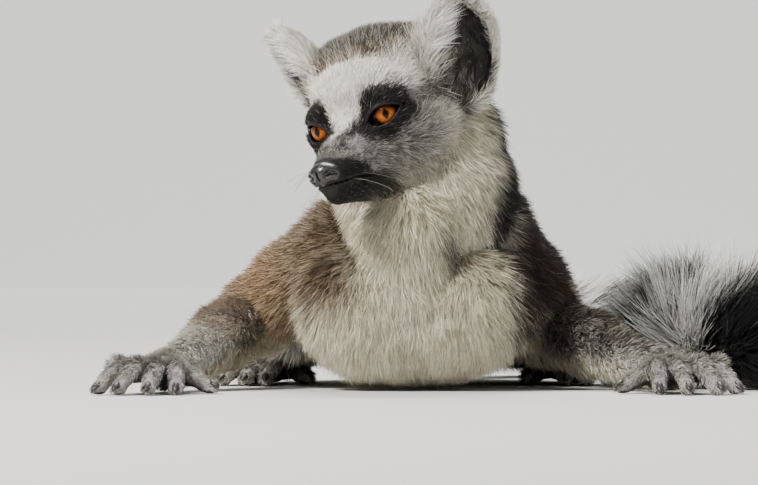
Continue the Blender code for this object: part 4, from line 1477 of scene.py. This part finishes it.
def tuft_lines(draws, seed, stray, leaders, root, normal, lie, values):
    """The middle line of each tuft from root to tip, the tuft that it follows, and the hair's length."""
    count = len(root)
    hair, depth, locks = values.T
    hair = hair * np.exp(np.clip(draws.normal(0.0, 0.16, count), -0.4, 0.26))
    hair = hair * (1 + 0.10 * slow_waves(root, seed, 30.0))
    lean = math.radians(stray) * draws.normal(size=count)
    lie = turned(lie, normal, lean + math.radians(14) * slow_waves(root, seed + 1, 20.0))
    rise = depth / (0.78 * hair) * np.exp(draws.normal(0.0, 0.18, count))
    lift = np.arcsin(np.clip(rise, *LIFT_LIMITS))
    lines = np.empty((count, SEGMENTS + 1, 3))
    lines[:, 0] = root - normal * ROOT_DEPTH
    sway = draws.normal(0.0, 0.13, (count, 1)) * np.cross(normal, lie)
    for k in range(SEGMENTS):
        angle = lift * (1 - BEND * (k + 0.5) / SEGMENTS)
        step = lie * np.cos(angle)[:, None] + normal * np.sin(angle)[:, None] + sway * (k + 1)
        step[:, 2] -= SAG * (k + 0.5) / SEGMENTS * step_between(8, 18, hair)
        lines[:, k + 1] = lines[:, k] + unit(step) * (hair / SEGMENTS)[:, None]
    own = gathered(lines, root, locks * (0.7 + 0.6 * draws.random(count)), draws, leaders)
    bed = LEAST_HEIGHT + BED_SPREAD * draws.random(count) ** 2
    least = np.where(root[:, 2] > 8, bed, LEAST_HEIGHT)
    lines[:, :, 2] = np.maximum(lines[:, :, 2], least[:, None])
    return lines, own, hair


def tuft_tints(draws, root, normal, weight, run, hair, own):
    """Each tuft's colours at root, middle and tip, by the markings round its root."""
    off_ears = 1 - 0.9 * weight[:, [PARTS.index("ear_left"), PARTS.index("ear_right")]].sum(1)
    spread = (step_between(0, 6, hair) * off_ears)[:, None]
    around = root + draws.normal(0.0, COLOUR_SPREAD, (len(root), 3)) * spread
    colour = markings(around, normal)[0]
    on_tail = weight[:, PARTS.index("tail")] > 0.5
    colour[on_tail] = ring_colours(run[on_tail] + draws.normal(0.0, COLOUR_SPREAD, on_tail.sum()))
    root_tint, body_tint, tip_tint = tint_of(colour, draws, own)
    # Painted shade at the roots of the tail's hair.
    root_tint[on_tail] = blend(root_tint[on_tail], TAIL_ROOT, 0.6)
    return root_tint, body_tint, tip_tint


def coat_piece(name, count, density, width, seed, leaders=0.06, stray=7.0):
    """One piece of coat: count tufts over the triangles, spread by density. leaders is the share of
    tufts that others follow into locks, and stray how far tufts lean aside, in degrees."""
    draws = np.random.default_rng(seed)
    area = np.cumsum(triangle_area * density * (1 - triangle_bare))
    picks = (np.arange(count) + draws.random(count)) / count * area[-1]
    triangle = np.minimum(np.searchsorted(area, picks), len(area) - 1)
    a, b = np.sqrt(draws.random(count)), draws.random(count)
    share_of_corner = np.column_stack((1 - a, a * (1 - b), a * b))

    def here(values):
        return np.einsum("ij,ij...->i...", share_of_corner, values[skin_triangles[triangle]])

    root, normal = here(skin_points), unit(here(skin_normals))
    weight, share, run = here(skin_weight), here(skin_share), here(skin_run)
    lie, values = lie_of_hair(root, normal, weight, share, run)
    lines, own, hair = tuft_lines(draws, seed, stray, leaders, root, normal, lie, values)

    ahead = unit(lines[:, 1] - lines[:, 0])
    across = unit(turned(np.cross(ahead, normal), ahead, draws.normal(0.0, 0.55, count)))
    half = width / 2 * np.exp(draws.normal(0.0, 0.2, count)) * step_between(0.5, 6.0, hair + 2.5)
    across = across * half[:, None]
    corners_of = (lines[:, 0] - across * 0.8, lines[:, 0] + across * 0.8,
                  lines[:, 1] - across, lines[:, 1] + across, lines[:, 2])
    faces = (np.arange(count)[:, None, None] * LEAF_CORNERS + np.array(LEAF)).reshape(-1, 3)
    mesh = mesh_of(name, placed(np.stack(corners_of, 1).reshape(-1, 3)), faces)

    root_tint, body_tint, tip_tint = tuft_tints(draws, root, normal, weight, run, hair, own)
    tints = (root_tint, root_tint, body_tint, body_tint, tip_tint)
    colour_points(mesh, "Tint", np.stack(tints, 1).reshape(-1, 3))

    uv = (map_of(root, normal, weight, share, run)[:, None, :] + LEAF_ON_MAP).reshape(-1, 2)
    layer = mesh.uv_layers.new(name="OFBake")
    layer.data.foreach_set("uv", uv[faces.ravel()].astype(np.float32).ravel())
    return piece_of(mesh, coat_hair)


def coat_material():
    """Hair: its tint from root to tip, a little change from strand to strand, and a soft sheen."""
    n = Nodes("coat_hair")
    tint = n.add("Attribute", attribute_name="Tint")
    patches = n.texture("Noise", Scale=260.0, Detail=3.0, Roughness=0.6)
    shade = n.ranged(patches, "Fac", From_Min=0.25, From_Max=0.75, To_Min=0.78, To_Max=1.2)
    n.coloured(n.mixed("MULTIPLY", 1.0, (tint, "Color"), (shade, "Result")))
    n.roughened(patches, "Fac", To_Min=0.5, To_Max=0.75)
    return n.finished(Specular_IOR_Level=0.2, Sheen_Weight=0.06, Sheen_Roughness=0.4)


coat_hair = coat_material()
on = {name: part_number == i for i, name in enumerate(PARTS)}
face_side = head_coords(triangle_middle)[:, 1] > 9
by_kind = {kind: on["body"] & (kind_names[nearest_stretch] == kind) for kind in KINDS}
left = triangle_middle[:, 0] > 0
above_sole = step_between(-0.5, -0.2, triangle_normal[:, 2])
ears = on["ear_left"] | on["ear_right"]
paws = np.any([on[name] for name in EXTREMITIES], axis=0)
hidden_under = 0.35 + 0.65 * step_between(-0.9, -0.2, triangle_normal[:, 2])
halfway = over_triangles(skin_run) > tail_run[-1] * 0.5

# Each piece's name, tufts, where they are, width of leaf, seed, leaders and stray.
coat_piece("coat_face", 62000, on["head"] & face_side, 0.28, 11, 0.05, 10.0)
coat_piece("coat_crown", 50000, on["head"] & ~face_side, 0.32, 12, 0.10, 30.0)
coat_piece("coat_ears", 34000, ears, 0.30, 13, 0.06, 12.0)
coat_piece("coat_neck", 44000, by_kind["neck"], 0.42, 14, 0.05, 14.0)
coat_piece("coat_breast", 50000, by_kind["breast"], 0.42, 15, 0.05, 16.0)
coat_piece("coat_back", 38000, by_kind["trunk"] * hidden_under, 0.60, 16, 0.05, 10.0)
for side, on_side, seed in (("left", left, 17), ("right", ~left, 18)):
    arm = (by_kind["upper_arm"] | by_kind["forearm"]) & on_side
    leg = (by_kind["thigh"] | by_kind["shin"]) & on_side
    coat_piece("coat_arm_" + side, 40000, arm, 0.40, seed, 0.08, 20.0)
    coat_piece("coat_leg_" + side, 15000, leg * hidden_under, 0.60, seed + 2, 0.06, 12.0)
coat_piece("coat_hands_and_feet", 34000, paws * above_sole, 0.32, 21, 0.05, 12.0)
coat_piece("coat_tail_base", 32000, on["tail"] & ~halfway, 0.60, 22, 0.05)
coat_piece("coat_tail_end", 46000, on["tail"] & halfway, 0.46, 23, 0.035)

# ---------------------------------------------------------------- stage
# A plain pale floor that sweeps up behind, soft studio light, and a long lens low in front.

FRAME_WIDTH = 0.3373   # how much of the animal's plane the camera takes in
LENS = 270.0
SENSOR = 36.0
DISTANCE = FRAME_WIDTH * LENS / SENSOR
AIM = Vector((ORIGIN[0] - 0.01602, ORIGIN[1] - 0.015, 0.06653))  # below the head's middle
camera_data = bpy.data.cameras.new("camera")
camera_data.lens = LENS
camera_data.sensor_width = SENSOR
camera_data.clip_end = 100
camera = bpy.data.objects.new("camera", camera_data)
camera.location = AIM + Vector((0, -DISTANCE, 0))
camera.rotation_euler = (math.radians(90), 0, 0)
bpy.context.scene.collection.objects.link(camera)
bpy.context.scene.camera = camera

# The backdrop's sizes in metres, with its first and last points and its bend in between.
FLOOR_FRONT, BEND_START, BEND_RADIUS, BEND_STEPS, WALL_HEIGHT, HALF_WIDTH = -12.0, 6.0, 3.0, 48, 9.0, 14.0
sweep = [(FLOOR_FRONT, 0.0), (BEND_START, 0.0)]
for a in np.linspace(0.03, math.pi / 2, BEND_STEPS):
    sweep.append((BEND_START + BEND_RADIUS * math.sin(a), BEND_RADIUS - BEND_RADIUS * math.cos(a)))
sweep.append((BEND_START + BEND_RADIUS, WALL_HEIGHT))
vertices = [(x, y, z) for y, z in sweep for x in (-HALF_WIDTH, HALF_WIDTH)]
faces = [(2 * i, 2 * i + 1, 2 * i + 3, 2 * i + 2) for i in range(len(sweep) - 1)]
backdrop_mesh = bpy.data.meshes.new("backdrop")
backdrop_mesh.from_pydata(vertices, [], faces)
backdrop_mesh.polygons.foreach_set("use_smooth", [True] * len(faces))
paper = Nodes("backdrop_paper").finished(Base_Color=(0.74, 0.735, 0.72, 1), Roughness=0.9)
backdrop_mesh.materials.append(paper)
backdrop = bpy.data.objects.new("backdrop", backdrop_mesh)
bpy.context.scene.collection.objects.link(backdrop)


def soft_light(name, place, size, power, colour, aim=(0, 0, 0.08)):
    """A round lamp, by its place and size in metres and its power in watts, turned to its aim."""
    light = bpy.data.lights.new(name, "AREA")
    light.shape = "DISK"
    light.size = size
    light.energy = power
    light.color = colour
    lamp = bpy.data.objects.new(name, light)
    lamp.location = place
    lamp.rotation_euler = (Vector(aim) - Vector(place)).to_track_quat("-Z", "Y").to_euler()
    bpy.context.scene.collection.objects.link(lamp)


soft_light("key_light", (-1.3, -1.2, 1.6), 0.55, 76.0, (1.0, 0.965, 0.91))
soft_light("fill_light", (1.8, -1.6, 0.8), 1.4, 7.0, (0.92, 0.96, 1.0))
soft_light("top_light", (0.1, 0.5, 2.0), 1.2, 14.0, (1.0, 0.98, 0.95))
soft_light("backdrop_light", (0.0, 4.0, 6.0), 4.0, 540.0, (1.0, 0.99, 0.97), (0, 6.0, 0))
world = bpy.data.worlds.new("studio")
world.use_nodes = True
background = world.node_tree.nodes["Background"]
background.inputs["Color"].default_value = (0.9, 0.94, 1.0, 1)
background.inputs["Strength"].default_value = 0.36
bpy.context.scene.world = world
